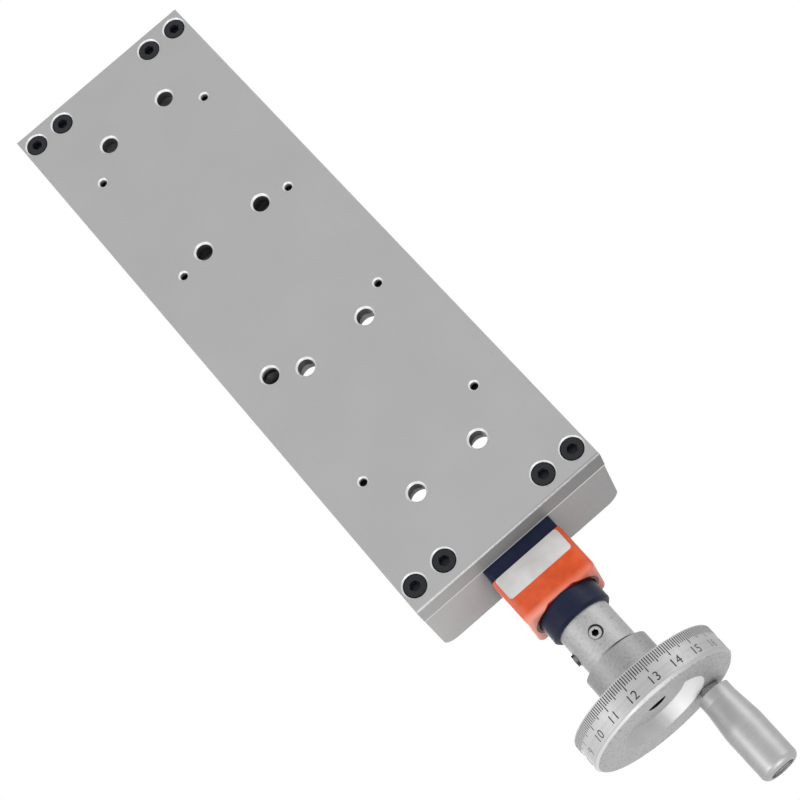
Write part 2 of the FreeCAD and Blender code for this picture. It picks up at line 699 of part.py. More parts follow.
# Position indicator: sizes along Y count outwards from the front block, so they are negative
base = on_axis("indicator_base")
indicator_middle = "(indicatorTop - indicatorBelow) / 2"
base_width = "indicatorWidth - 2 * baseInset"
base_height = "indicatorTop + indicatorBelow - 2 * baseInset"
drawing = rectangle(draw(base, "XZ_Plane"), base_width, base_height, up=indicator_middle)
add(base, drawing, "indicatorBaseThick")
rounded(base, "housingRound", lambda edge: edge.BoundBox.YLength > 1)
spigot_width = "indicatorWidth - 2 * housingWall - 2 * fitGap"
spigot_height = "indicatorTop + indicatorBelow - 2 * housingWall - 2 * fitGap"
drawing = rectangle(draw(base, "XZ_Plane", "indicatorBaseThick"), spigot_width, spigot_height, up=indicator_middle)
add(base, drawing, "baseSpigot")
room_width = "4 * drumWidth + 5 * drumGap"
drum_room = "2 * (drumRadius + drumGap)"
drawing = draw(base, "XZ_Plane", "indicatorBaseThick + baseSpigot")
rectangle(drawing, room_width, drum_room, up="drumRise")
cut(base, drawing, "baseSpigot")
drawing = circles(draw(base, "XZ_Plane"), [("0", "0")], "hollowShaftRadius + baseShaftGap")
cut(base, drawing, "indicatorBaseThick + baseSpigot", along=True)
drawing = circles(draw(base, "XZ_Plane"), pin_place, "pinRadius + fitGap")
cut(base, drawing, "pinInBase", along=True)

pin = on_axis("torque_pin")
drawing = circles(draw(pin, "XZ_Plane", "-pinInBlock"), pin_place, "pinRadius")
add(pin, drawing, "pinInBlock + pinInBase")

housing = on_axis("indicator_housing")
side = [
    ("-indicatorBaseThick", "-indicatorBelow"), ("-indicatorFront", "-indicatorBelow"), ("-indicatorFront", "inclineStart"),
    ("-inclineOut", "indicatorTop"), ("-indicatorBaseThick", "indicatorTop")]
add(housing, outline(draw(housing, "YZ_Plane"), side), "indicatorWidth", symmetric=True)
back = housing.Shape.BoundBox.YMax - housing.Placement.Base.y
rounded(housing, "housingRound", lambda edge: edge.BoundBox.YMin < back - 1e-3)
slope_down = "housingWall * inclineLength / inclineRun"
slope_back = "housingWall * inclineLength / inclineRise"
cavity = [
    ("-indicatorBaseThick", "housingWall - indicatorBelow"), ("-cavityFront", "housingWall - indicatorBelow"),
    ("-cavityFront", "inclineStart + housingFrontWall * inclineRise / inclineRun - " + slope_down),
    (slope_back + " - housingWall * inclineRun / inclineRise - inclineOut", "indicatorTop - housingWall"),
    ("-indicatorBaseThick", "indicatorTop - housingWall")]
drawing = outline(draw(housing, "YZ_Plane"), cavity)
cut(housing, drawing, "indicatorWidth - 2 * housingWall", symmetric=True)
drawing = circles(draw(housing, "XZ_Plane", "indicatorFront"), [("0", "0")], "collarRadius + collarRoom")
cut(housing, drawing, "collarRecess")
drawing = circles(draw(housing, "XZ_Plane", "indicatorFront"), [("0", "0")], "hollowShaftRadius + hollowShaftGap")
cut(housing, drawing, "housingFrontWall")
drawing = circles(draw(housing, "YZ_Plane"), [("-drumOut", "drumRise")], "axleRadius + fitGap")
cut(housing, drawing, "indicatorWidth - 2 * housingWall + 2 * axleSeat", symmetric=True)


# A plane on the middle of the sloping face
def on_slope(item, path, y, z):
    bind(item, path + ".Base.y", y)
    bind(item, path + ".Base.z", z)
    bind(item, path + ".Rotation.Angle", "inclineAngle")


slope_y = "-(indicatorFront + inclineOut) / 2"
slope_z = "(inclineStart + indicatorTop) / 2"
tilted = FreeCAD.Placement(FreeCAD.Vector(), FreeCAD.Rotation(FreeCAD.Vector(1, 0, 0), 45))
for width, height, depth in (
        ("windowWidth", "windowHeight", "3 * housingWall"),
        ("windowWidth + 2 * windowLip", "windowHeight + 2 * windowLip", "windowThick")):
    drawing = draw(housing, "XY_Plane")
    drawing.AttachmentOffset = tilted
    on_slope(drawing, "AttachmentOffset", slope_y, slope_z)
    cut(housing, rectangle(drawing, width, height), depth)

window = new_body("indicator_window", turned=tilted.Rotation)
on_slope(window, "Placement", "frontFace + " + slope_y, "axisHeight + " + slope_z)
pane = rectangle(draw(window, "XY_Plane"), "windowWidth + 2 * windowLip - 2 * fitGap",
                 "windowHeight + 2 * windowLip - 2 * fitGap")
add(window, pane, "windowThick", against=True)


# Digit drums, side by side on an axle that runs along X
def on_drums(label):
    return new_body(label, y="frontFace - drumOut", z="axisHeight + drumRise")


axle = on_drums("drum_axle")
drawing = circles(draw(axle, "YZ_Plane"), [("0", "0")], "axleRadius")
add(axle, drawing, "indicatorWidth - 2 * housingWall + 2 * axleSeat - 2 * fitGap", symmetric=True)
for place, label in enumerate(("thousands_drum", "hundreds_drum", "tens_drum", "units_drum")):
    drum = on_drums(label)
    drawing = draw(drum, "YZ_Plane", "(drumWidth + drumGap) * %s - drumWidth / 2" % (place - 1.5))
    circles(drawing, [("0", "0")], "drumRadius")
    circles(drawing, [("0", "0")], "axleRadius + runningGap")
    add(drum, drawing, "drumWidth")

hollow_shaft = on_axis("indicator_shaft")
turned(hollow_shaft, flipped([
    ("hollowBore", "hollowShaftStart"), ("hollowShaftRadius", "hollowShaftStart"),
    ("hollowShaftRadius", "collarEnd"), ("hollowBore", "collarEnd")]))

collar = on_axis("indicator_collar")
turned(collar, flipped([
    ("hollowShaftRadius + fitGap", "collarStart"), ("collarRadius", "collarStart"),
    ("collarRadius", "collarEnd - collarChamfer"), ("collarRadius - collarChamfer", "collarEnd"),
    ("hollowShaftRadius + fitGap", "collarEnd")]))
drawing = circles(draw(collar, "XY_Plane"), [("0", "-collarScrewOut")], "collarScrewRadius + threadGap")
cut(collar, drawing, "collarRadius", along=True)


# Set screws stand on the shaft below them, along the body's own Z
def set_screw(body, kind, foot, length):
    drawing = circles(draw(body, "XY_Plane", foot), [("0", "0")], kind + "ScrewRadius")
    add(body, drawing, length)
    drawing = hexagons(draw(body, "XY_Plane", foot + " + " + length), [("0", "0")], kind + "Key")
    cut(body, drawing, length + " * keyShare")


collar_screw = new_body("collar_set_screw", y="frontFace - collarScrewOut", z="axisHeight")
set_screw(collar_screw, "collar", "hollowShaftRadius + fitGap", "collarScrewLength")


# Handwheel: hub, wide hub, disc rim with a flared recess in its front face
wheel = on_axis("handwheel")
turned(wheel, flipped([
    ("frontBore", "collarEnd"), ("hubRadius", "collarEnd"), ("hubRadius", "hubStepOut"),
    ("hubWideRadius", "hubStepOut"), ("hubWideRadius", "rimStart"), ("rimRadius", "rimStart"),
    ("rimRadius", "rimEnd - rimChamfer"), ("rimRadius - rimChamfer", "rimEnd"),
    ("recessRadius + recessFlare", "rimEnd - faceDish"), ("recessRadius", "recessFloor"), ("eyeRadius", "recessFloor"),
    ("eyeRadius", "wheelBoreEnd"), ("frontBore", "wheelBoreEnd")]))
web_radius = sheet.get("hubWideRadius")
rim_back = -sheet.get("rimStart")
rounded(wheel, "webFillet", lambda edge: is_circle(edge, web_radius) and abs(edge.BoundBox.YMin - rim_back) < 1e-3)
hub_spot = [("0", "-hubScrewOut")]
drawing = circles(draw(wheel, "XY_Plane"), hub_spot, "hubScrewRadius + threadGap")
cut(wheel, drawing, "hubRadius")
drawing = circles(draw(wheel, "YZ_Plane"), [("-hubScrewOut", "0")], "hubScrewRadius + threadGap")
cut(wheel, drawing, "hubRadius", along=True)
crank_spot = [("crankX", "crankZ")]
drawing = circles(draw(wheel, "XZ_Plane", "rimEnd"), crank_spot, "spindleCollarRadius + headGap")
cut(wheel, drawing, "faceDish")
drawing = circles(draw(wheel, "XZ_Plane", "crankSeat"), crank_spot, "spindleRadius + threadGap")
cut(wheel, drawing, "spindleThread + threadGap")

for place, way in (("lower", upside_down), ("side", facing_right)):
    screw = new_body(place + "_hub_set_screw", y="frontFace - hubScrewOut", z="axisHeight", turned=way)
    set_screw(screw, "hub", "frontBore", place + "ScrewLength")


# Handle: a slotted spindle in the wheel, and a grip that turns on it
def on_crank(label):
    return new_body(label, x="crankX", y="frontFace", z="axisHeight + crankZ")


spindle = on_crank("handle_spindle")
head_end = "gripHeadSeat + spindleHeadThick"
turned(spindle, flipped([
    ("0", "crankSeat - spindleThread"), ("spindleRadius", "crankSeat - spindleThread"), ("spindleRadius", "crankSeat"),
    ("spindleCollarRadius", "crankSeat"), ("spindleCollarRadius", "gripStart - headGap / 2"),
    ("spindleRadius", "gripStart - headGap / 2"), ("spindleRadius", "gripHeadSeat + headGap / 2"),
    ("spindleHeadRadius", "gripHeadSeat + headGap / 2"), ("spindleHeadRadius", head_end), ("0", head_end)]))
drawing = rectangle(draw(spindle, "XZ_Plane", head_end), "3 * spindleHeadRadius", "spindleSlotWidth")
cut(spindle, drawing, "spindleSlotDepth")

grip = on_crank("handle_grip")
grip_bore = "spindleRadius + runningGap"
head_room = "spindleHeadRadius + gripHeadGap"
turned(grip, flipped([
    (grip_bore, "gripStart"), ("gripFootRadius", "gripStart"), ("gripFootRadius", "gripNeckOut"),
    ("gripSwellRadius", "gripSwellOut"),
    ("gripEndRadius", "gripEnd"), (head_room, "gripEnd"), (head_room, "gripHeadSeat"), (grip_bore, "gripHeadSeat")]))
end_radius = sheet.get("gripEndRadius")
rounded(grip, "gripRound", lambda edge: is_circle(edge, end_radius))
neck = -grip.evalExpression(formula("gripNeckOut"))
swell = -grip.evalExpression(formula("gripSwellOut"))
rounded(grip, "gripBlend", lambda edge: isinstance(edge.Curve, Part.Circle)
        and (abs(edge.BoundBox.YMin - neck) < 1e-3 or abs(edge.BoundBox.YMin - swell) < 1e-3))


# Nothing is written unless every object is sound
for item in doc.Objects:
    if "Invalid" in item.State or "Error" in item.State:
        raise RuntimeError("%s is not sound: %s" % (item.Label, item.State))
os.makedirs("parts", exist_ok=True)
for piece in pieces:
    if piece.Shape.isNull() or not piece.Shape.isValid():
        raise RuntimeError("%s has no sound shape" % piece.Label)
for piece in pieces:
    piece.Shape.exportStep("parts/%s.step" % piece.Label)
    print("%-28s %2d solids %10.1f mm3" % (piece.Label, len(piece.Shape.Solids), piece.Shape.Volume))
print("%d pieces" % len(pieces))
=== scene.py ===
import bpy
import json
import math
from mathutils import Matrix, Vector

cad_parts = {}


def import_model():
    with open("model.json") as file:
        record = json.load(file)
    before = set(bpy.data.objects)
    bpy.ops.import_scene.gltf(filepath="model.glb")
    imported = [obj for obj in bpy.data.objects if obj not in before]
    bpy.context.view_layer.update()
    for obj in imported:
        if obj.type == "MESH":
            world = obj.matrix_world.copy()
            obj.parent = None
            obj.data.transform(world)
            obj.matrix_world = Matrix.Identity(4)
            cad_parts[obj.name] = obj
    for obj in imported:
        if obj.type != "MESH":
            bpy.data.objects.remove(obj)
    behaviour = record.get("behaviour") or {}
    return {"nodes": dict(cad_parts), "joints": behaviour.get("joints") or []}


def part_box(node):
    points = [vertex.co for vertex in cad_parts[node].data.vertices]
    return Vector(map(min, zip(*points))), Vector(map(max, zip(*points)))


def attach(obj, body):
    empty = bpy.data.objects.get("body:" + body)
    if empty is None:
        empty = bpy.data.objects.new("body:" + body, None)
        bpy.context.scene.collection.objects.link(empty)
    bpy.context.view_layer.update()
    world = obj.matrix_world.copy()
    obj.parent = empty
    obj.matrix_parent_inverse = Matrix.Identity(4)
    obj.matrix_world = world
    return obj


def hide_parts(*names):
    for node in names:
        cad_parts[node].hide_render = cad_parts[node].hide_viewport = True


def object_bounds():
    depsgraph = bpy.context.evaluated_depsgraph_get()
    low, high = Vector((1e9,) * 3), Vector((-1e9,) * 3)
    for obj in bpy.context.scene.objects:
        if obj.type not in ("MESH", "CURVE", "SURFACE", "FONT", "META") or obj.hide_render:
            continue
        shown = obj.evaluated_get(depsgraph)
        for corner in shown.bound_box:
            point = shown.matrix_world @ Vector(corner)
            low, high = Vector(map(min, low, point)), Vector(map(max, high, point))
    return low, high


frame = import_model()
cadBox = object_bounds()
nodes = frame["nodes"]
joints = {joint["name"]: joint for joint in frame["joints"]}
mm = 0.001
soft = 0.1 * mm  # how far a painted border takes to fade
slack = 0.001 * mm  # for comparing two places
axisZ = joints["screw_turn"]["pos_m"][2]  # height of the screw's axis
rimWidth = 12.4 * mm  # from the wheel's face to the back of its rim
corners = ["front_left", "front_right", "rear_left", "rear_right"]  # where the four carriages sit
print("frame loaded:", len(nodes), "nodes")


# small helpers for modelling

def startPiece():
    if bpy.context.object and bpy.context.object.mode != "OBJECT":
        bpy.ops.object.mode_set(mode="OBJECT")
    bpy.ops.object.select_all(action="DESELECT")


def choose(piece):
    startPiece()
    piece.select_set(True)
    bpy.context.view_layer.objects.active = piece


def pick(kind, wanted):  # selects the verts, edges or faces that pass a test, and stays in edit mode
    bpy.ops.object.mode_set(mode="EDIT")
    bpy.ops.mesh.select_mode(type=kind)
    bpy.ops.mesh.select_all(action="DESELECT")
    bpy.ops.object.mode_set(mode="OBJECT")
    mesh = bpy.context.object.data
    for item in {"VERT": mesh.vertices, "EDGE": mesh.edges, "FACE": mesh.polygons}[kind]:
        item.select = wanted(mesh, item)
    bpy.ops.object.mode_set(mode="EDIT")


def edgeEnds(mesh, edge):
    return [mesh.vertices[index].co for index in edge.vertices]


def bevelEdges(kind, wanted, width, segments=1):
    pick(kind, wanted)
    bpy.ops.mesh.bevel(offset=width, segments=segments, affect="EDGES")
    bpy.ops.object.mode_set(mode="OBJECT")


def settle(piece):  # place, turn and scale go into the mesh
    choose(piece)
    bpy.ops.object.transform_apply(location=True, rotation=True, scale=True)
    return piece


def addSlab(place, size):
    startPiece()
    bpy.ops.mesh.primitive_cube_add(size=1, location=place)
    slab = bpy.context.object
    slab.scale = size
    return settle(slab)


def applyAll(piece):
    choose(piece)
    for modifier in list(piece.modifiers):
        bpy.ops.object.modifier_apply(modifier=modifier.name)


def closeUp(piece):  # merge doubles, then turn every face outwards
    choose(piece)
    bpy.ops.object.mode_set(mode="EDIT")
    bpy.ops.mesh.select_all(action="SELECT")
    bpy.ops.mesh.remove_doubles(threshold=0.002 * mm)
    bpy.ops.mesh.normals_make_consistent(inside=False)
    bpy.ops.object.mode_set(mode="OBJECT")
    return piece


def copyOf(piece, place):
    twin = piece.copy()
    twin.data = piece.data.copy()
    bpy.context.scene.collection.objects.link(twin)
    twin.matrix_world = place @ piece.matrix_world
    return twin


def joinAs(name, group):
    for piece in group:
        settle(piece)
    startPiece()
    for piece in group:
        piece.select_set(True)
    bpy.context.view_layer.objects.active = group[0]
    bpy.ops.object.join()
    group[0].name = name
    group[0].data.name = name
    return group[0]


def smooth(piece, degrees):
    choose(piece)
    bpy.ops.object.shade_smooth_by_angle(angle=math.radians(degrees))


def dress(piece, finish, body):
    piece.data.materials.clear()
    piece.data.materials.append(finish)
    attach(piece, body)


# small helpers for finishes

def newFinish(name):
    finish = bpy.data.materials.new(name)
    finish.use_nodes = True
    return finish, finish.node_tree, finish.node_tree.nodes["Principled BSDF"]


def addNode(tree, kind, sockets=None, **settings):
    node = tree.nodes.new("ShaderNode" + kind)
    for key, value in settings.items():
        setattr(node, key, value)
    for key, value in (sockets or {}).items():
        node.inputs[key].default_value = value
    return node


def objectPlace(tree, stretch=(1, 1, 1), shift=(0, 0, 0)):
    coords = addNode(tree, "TexCoord")
    mapping = addNode(tree, "Mapping", {"Scale": stretch, "Location": shift})
    tree.links.new(coords.outputs["Object"], mapping.inputs["Vector"])
    return mapping.outputs["Vector"]


def axisPart(tree, axis):
    parts = addNode(tree, "SeparateXYZ")
    tree.links.new(objectPlace(tree), parts.inputs["Vector"])
    return parts.outputs[axis]


def lengthOf(tree, vector):
    node = addNode(tree, "VectorMath", operation="LENGTH")
    tree.links.new(vector, node.inputs[0])
    return node.outputs["Value"]


def turnedPlace(tree, centreZ, centreX=0.0):  # radius and distance along Y, for marks that run round a piece
    radius = lengthOf(tree, objectPlace(tree, (1, 0, 1), (-centreX, 0, -centreZ)))
    along = axisPart(tree, "Y")
    ring = addNode(tree, "CombineXYZ")
    tree.links.new(radius, ring.inputs["X"])
    tree.links.new(along, ring.inputs["Y"])
    return ring.outputs["Vector"], radius, along


def offMiddle(tree):  # distance from the middle plane, on either side
    node = addNode(tree, "Math", operation="ABSOLUTE")
    tree.links.new(axisPart(tree, "X"), node.inputs[0])
    return node.outputs[0]


def fromEdge(edge, steps):  # places at some distances from an edge, the distances in mm
    return [edge + step * mm for step in steps]


def noise(tree, place, size, detail=2.0, roughness=0.5):  # size is that of a typical blotch, in mm
    node = addNode(tree, "TexNoise", {"Scale": 1 / (size * mm), "Detail": detail, "Roughness": roughness})
    tree.links.new(place, node.inputs["Vector"])
    return node.outputs["Fac"]


def ramp(tree, factor, stops):
    node = addNode(tree, "ValToRGB")
    while len(node.color_ramp.elements) < len(stops):
        node.color_ramp.elements.new(0.5)
    for element, (position, colour) in zip(node.color_ramp.elements, stops):
        element.position = position
        element.color = (*colour, 1)
    tree.links.new(factor, node.inputs["Fac"])
    return node.outputs["Color"]


def twoTone(tree, factor, dark, light):  # over the middle of a noise's range
    return ramp(tree, factor, [(0.3, dark), (0.7, light)])


def spread(tree, factor, low, high, fromLow=0.3, fromHigh=0.7):
    ends = {"From Min": fromLow, "From Max": fromHigh, "To Min": low, "To Max": high}
    node = addNode(tree, "MapRange", ends)
    tree.links.new(factor, node.inputs["Value"])
    return node.outputs["Result"]


def before(tree, factor, full, none):  # 1 up to the first value, 0 past the second
    return spread(tree, factor, 1.0, 0.0, full, none)


def after(tree, factor, none, full):  # 0 up to the first value, 1 past the second
    return spread(tree, factor, 0.0, 1.0, none, full)


def combine(tree, operation, first, second):
    node = addNode(tree, "Math", operation=operation)
    tree.links.new(first, node.inputs[0])
    tree.links.new(second, node.inputs[1])
    return node.outputs[0]


def both(tree, first, second):
    return combine(tree, "MULTIPLY", first, second)


def either(tree, first, second):
    return combine(tree, "MAXIMUM", first, second)


def between(tree, factor, low, high):  # 1 from low to high, 0 outside them
    return both(tree, after(tree, factor, low - soft, low), before(tree, factor, high, high + soft))


def nearPoint(tree, point, full, none):  # 1 within the first distance of a point, 0 past the second
    away = addNode(tree, "VectorMath", operation="DISTANCE")
    away.inputs[1].default_value = point
    tree.links.new(objectPlace(tree), away.inputs[0])
    return before(tree, away.outputs["Value"], full, none)


def blendColour(tree, factor, first, second, mode="MIX"):
    node = addNode(tree, "Mix", data_type="RGBA", blend_type=mode)
    for value, socket in ((factor, node.inputs[0]), (first, node.inputs[6]), (second, node.inputs[7])):
        if isinstance(value, tuple):
            socket.default_value = (*value, 1)
        elif isinstance(value, float):
            socket.default_value = value
        else:
            tree.links.new(value, socket)
    return node.outputs[2]


def shaded(tree, tone, shade, where=1.0):
    return blendColour(tree, where, tone, shade, "MULTIPLY")


def paint(tree, shader, tone, rough, metal=0.0, gloss=0.5):
    tree.links.new(tone, shader.inputs["Base Color"])
    tree.links.new(rough, shader.inputs["Roughness"])
    shader.inputs["Metallic"].default_value = metal
    shader.inputs["Specular IOR Level"].default_value = gloss


def bump(tree, shader, height, strength, depth):  # depth in mm
    node = addNode(tree, "Bump", {"Strength": strength, "Distance": depth * mm})
    tree.links.new(height, node.inputs["Height"])
    tree.links.new(node.outputs["Normal"], shader.inputs["Normal"])


def mixShaders(tree, factor, first, second, output):
    mix = addNode(tree, "MixShader")
    for source, socket in ((factor, 0), (first, 1), (second, 2)):
        tree.links.new(source, mix.inputs[socket])
    tree.links.new(mix.outputs[0], output.inputs["Surface"])


def grey(level, warm=0.0):
    return (level + warm, level, level - warm)


# bead-blasted, clear-anodised aluminium: fine speckle over broad, faint clouds

def anodisedFinish():
    look = {
        "dark": grey(0.395), "light": grey(0.415), "cloud": 30, "metal": 0.35, "rough": (0.42, 0.6),
        "specks": [(0.25, grey(0.82)), (0.36, grey(1.0)), (0.66, grey(1.0)), (0.78, grey(1.12))],
        "speck": 0.9, "faceShade": (0.72, 1.1), "endShade": (0.6, 0.85), "faceFade": (0.02, 0.08),
        "arris": grey(0.66), "arrisWidth": 1.3,
        "bright": grey(0.7), "chamfer": 0.85, "skin": 0.12, "margin": 0.8,
        "bore": grey(0.06), "boreDeep": 5.4,
        "tapX": (25, 30), "tapEnd": 20, "tapTone": (0.5, 0.01), "tapDeep": 3.2}
    low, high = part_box("base_plate")
    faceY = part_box("front_block")[0].y
    finish, tree, shader = newFinish("anodised_aluminium")
    place = objectPlace(tree)
    across, along, up = [axisPart(tree, axis) for axis in "XYZ"]
    fine = noise(tree, place, look["speck"], detail=3)
    tone = twoTone(tree, noise(tree, place, look["cloud"]), look["dark"], look["light"])
    tone = shaded(tree, tone, ramp(tree, fine, look["specks"]))
    onFace = before(tree, along, *fromEdge(faceY, look["faceFade"]))  # the front block's face
    onEnd = before(tree, along, *fromEdge(low.y, look["faceFade"]))  # the plate's sawn end
    # painted shade: the front block's face darkens towards -X
    tone = shaded(tree, tone, spread(tree, across, *look["faceShade"], low.x, high.x), onFace)
    # painted shade: the plate's end face is darker, most of all towards -X
    tone = shaded(tree, tone, spread(tree, across, *look["endShade"], low.x, high.x), onEnd)
    arrisZ = high.z - look["arrisWidth"] * mm
    atArris = both(tree, onEnd, after(tree, up, arrisZ - soft, arrisZ))
    # painted highlight: a bright line along the top of the plate's end face
    tone = blendColour(tree, atArris, tone, look["arris"])
    inset = look["margin"] * mm
    inside = between(tree, across, low.x + inset, high.x - inset)
    inside = both(tree, inside, between(tree, along, low.y + inset, high.y - inset))
    chamferZ = low.z + look["chamfer"] * mm
    onChamfer = both(tree, inside, between(tree, up, low.z + look["skin"] * mm, chamferZ - soft))
    tone = blendColour(tree, onChamfer, tone, look["bright"])  # painted highlight on the holes' chamfers
    tapEnd = look["tapEnd"] * mm
    onTap = between(tree, offMiddle(tree), *fromEdge(0, look["tapX"]))
    onTap = both(tree, onTap, between(tree, along, low.y + tapEnd, high.y - tapEnd))
    tapTone = spread(tree, up, *look["tapTone"], chamferZ, low.z + look["tapDeep"] * mm)
    wallTone = blendColour(tree, onTap, look["bore"], tapTone)  # painted shade: small tapped holes darken with depth
    inBore = both(tree, inside, between(tree, up, chamferZ + soft, low.z + look["boreDeep"] * mm))
    tone = blendColour(tree, inBore, tone, wallTone)  # painted shade on the holes' walls, near black
    paint(tree, shader, tone, spread(tree, fine, *look["rough"]), look["metal"])
    bump(tree, shader, fine, strength=0.25, depth=0.06)
    return finish


def blackOxideFinish():
    look = {
        "tones": [(0.35, (0.008, 0.009, 0.012)), (0.7, (0.022, 0.024, 0.03))], "speck": 0.5,
        "rough": (0.28, 0.45), "gloss": 0.25}
    finish, tree, shader = newFinish("black_oxide_steel")
    fine = noise(tree, objectPlace(tree), look["speck"], detail=3)
    tone = ramp(tree, fine, look["tones"])
    paint(tree, shader, tone, spread(tree, fine, *look["rough"]), gloss=look["gloss"])
    bump(tree, shader, fine, strength=0.2, depth=0.03)
    return finish


# ground steel: scratches that run along the rails; the underside at the foot is painted near black as shade

def groundSteelFinish(name, dark, light, footZ):
    look = {
        "stretch": (1, 0.02, 1), "scratch": 0.25, "patch": 14, "dull": grey(0.86), "foot": grey(0.008),
        "rough": (0.3, 0.46), "metal": 0.95}
    finish, tree, shader = newFinish(name)
    lines = noise(tree, objectPlace(tree, look["stretch"]), look["scratch"], detail=4, roughness=0.65)
    patches = noise(tree, objectPlace(tree), look["patch"])
    tone = twoTone(tree, lines, grey(dark), grey(light))
    tone = shaded(tree, tone, twoTone(tree, patches, look["dull"], grey(1.0)))
    aboveFoot = after(tree, axisPart(tree, "Z"), footZ, footZ + soft / 2)
    # painted shade: the underside at the foot is near black
    tone = blendColour(tree, aboveFoot, look["foot"], tone)
    paint(tree, shader, tone, spread(tree, lines, *look["rough"]), look["metal"])
    bump(tree, shader, lines, strength=0.12, depth=0.02)
    return finish


def turnedSteelFinish(name, dark, light, centreX, centreZ, size=0.2, rough=(0.18, 0.34), metal=0.95):
    look = {"patch": 9, "dull": grey(0.85)}
    finish, tree, shader = newFinish(name)
    ring = turnedPlace(tree, centreZ, centreX)[0]
    lines = noise(tree, ring, size, detail=3, roughness=0.6)
    patches = noise(tree, objectPlace(tree), look["patch"])
    tone = twoTone(tree, lines, grey(dark), grey(light))
    tone = shaded(tree, tone, twoTone(tree, patches, look["dull"], grey(1.0)))
    paint(tree, shader, tone, spread(tree, lines, *rough), metal)
    bump(tree, shader, lines, strength=0.15, depth=0.02)
    return finish


# moulded plastics: slight orange peel, faint clouds in the colour

def mouldedFinish(name, dark, light, rough, peel=0.8, depth=0.02, gloss=0.25):
    look = {"cloud": 8}
    finish, tree, shader = newFinish(name)
    place = objectPlace(tree)
    skin = noise(tree, place, peel)
    tone = twoTone(tree, noise(tree, place, look["cloud"], detail=3), dark, light)
    paint(tree, shader, tone, spread(tree, skin, *rough), gloss=gloss)
    bump(tree, shader, skin, strength=0.3, depth=depth)
    return finish


def housingFinish():  # painted highlights: the moulding pales towards its sides and front, most of all at +X
    look = {
        "tones": [(0.35, (0.61, 0.072, 0.016)), (0.65, (0.75, 0.102, 0.024))], "cloud": 5, "peel": 1.6,
        "pale": (0.84, 0.27, 0.2), "paleShare": (0.12, 0.6), "paleIn": (-3.4, -0.2), "sideShare": (0.4, 1.0),
        "frontSheen": (0.92, 0.36, 0.27), "frontSheenIn": (0.3, 3.4),
        "shadow": (0.14, 0.004, 0.006), "shadowOut": (1.6, 2.0), "shadowIn": (0.6, 1.2),
        "rough": (0.26, 0.4), "gloss": 0.1}
    low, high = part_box("indicator_housing")
    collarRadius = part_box("indicator_collar")[1].x
    finish, tree, shader = newFinish("orange_plastic")
    place = objectPlace(tree)
    radius, along = turnedPlace(tree, axisZ)[1:]
    skin = noise(tree, place, look["peel"])
    tone = ramp(tree, noise(tree, place, look["cloud"], detail=3), look["tones"])
    sideShare = spread(tree, axisPart(tree, "X"), *look["sideShare"], low.x / 2, high.x / 2)
    atSide = spread(tree, offMiddle(tree), *look["paleShare"], *fromEdge(high.x, look["paleIn"]))
    # painted highlight: paler towards the sides, most of all at +X
    tone = blendColour(tree, both(tree, atSide, sideShare), tone, look["pale"])
    atFront = before(tree, along, *fromEdge(low.y, look["frontSheenIn"]))
    # painted sheen: paler along the front, most of all at +X
    tone = blendColour(tree, both(tree, atFront, sideShare), tone, look["frontSheen"])
    byCollar = before(tree, radius, *fromEdge(collarRadius, look["shadowOut"]))
    byCollar = both(tree, byCollar, before(tree, along, *fromEdge(low.y, look["shadowIn"])))
    tone = blendColour(tree, byCollar, tone, look["shadow"])  # deep red line round the collar
    paint(tree, shader, tone, spread(tree, skin, *look["rough"]), gloss=look["gloss"])
    bump(tree, shader, skin, strength=0.3, depth=0.03)
    return finish


def inkFinish():  # dial ink, lighter towards both sides of the wheel
    look = {
        "tones": [(0.35, grey(0.015)), (0.65, grey(0.09))], "patch": 4,
        "lightened": grey(0.26), "lightenedX": (20, 29), "rough": (0.5, 0.7), "gloss": 0.2}
    finish, tree, shader = newFinish("black_ink")
    patches = noise(tree, objectPlace(tree), look["patch"], detail=3)
    tone = ramp(tree, patches, look["tones"])
    # the ink is lighter towards both sides of the wheel
    lightened = after(tree, offMiddle(tree), *fromEdge(0, look["lightenedX"]))
    tone = blendColour(tree, lightened, tone, look["lightened"])
    paint(tree, shader, tone, spread(tree, patches, *look["rough"]), gloss=look["gloss"])
    return finish


def bronzeFinish():
    look = {
        "dark": (0.30, 0.17, 0.055), "light": (0.42, 0.26, 0.09), "cloud": 7,
        "stretch": (1, 1, 0.05), "scratch": 0.4, "rough": (0.25, 0.45), "metal": 0.95}
    finish, tree, shader = newFinish("bronze")
    lines = noise(tree, objectPlace(tree, look["stretch"]), look["scratch"], detail=3, roughness=0.6)
    clouds = noise(tree, objectPlace(tree), look["cloud"], detail=3)
    tone = twoTone(tree, clouds, look["dark"], look["light"])
    paint(tree, shader, tone, spread(tree, lines, *look["rough"]), look["metal"])
    bump(tree, shader, lines, strength=0.15, depth=0.03)
    return finish


def clearFinish():
    look = {"tint": (0.93, 0.96, 0.97, 1), "cloud": 5, "rough": (0.03, 0.09), "bending": 1.2}
    finish, tree, shader = newFinish("clear_plastic")
    clouds = noise(tree, objectPlace(tree), look["cloud"])
    tree.links.new(spread(tree, clouds, *look["rough"]), shader.inputs["Roughness"])
    shader.inputs["Base Color"].default_value = look["tint"]
    shader.inputs["Transmission Weight"].default_value = 1.0
    shader.inputs["IOR"].default_value = look["bending"]
    return finish


# satin wheel: fine turning marks on the rim's edge, casting texture everywhere else

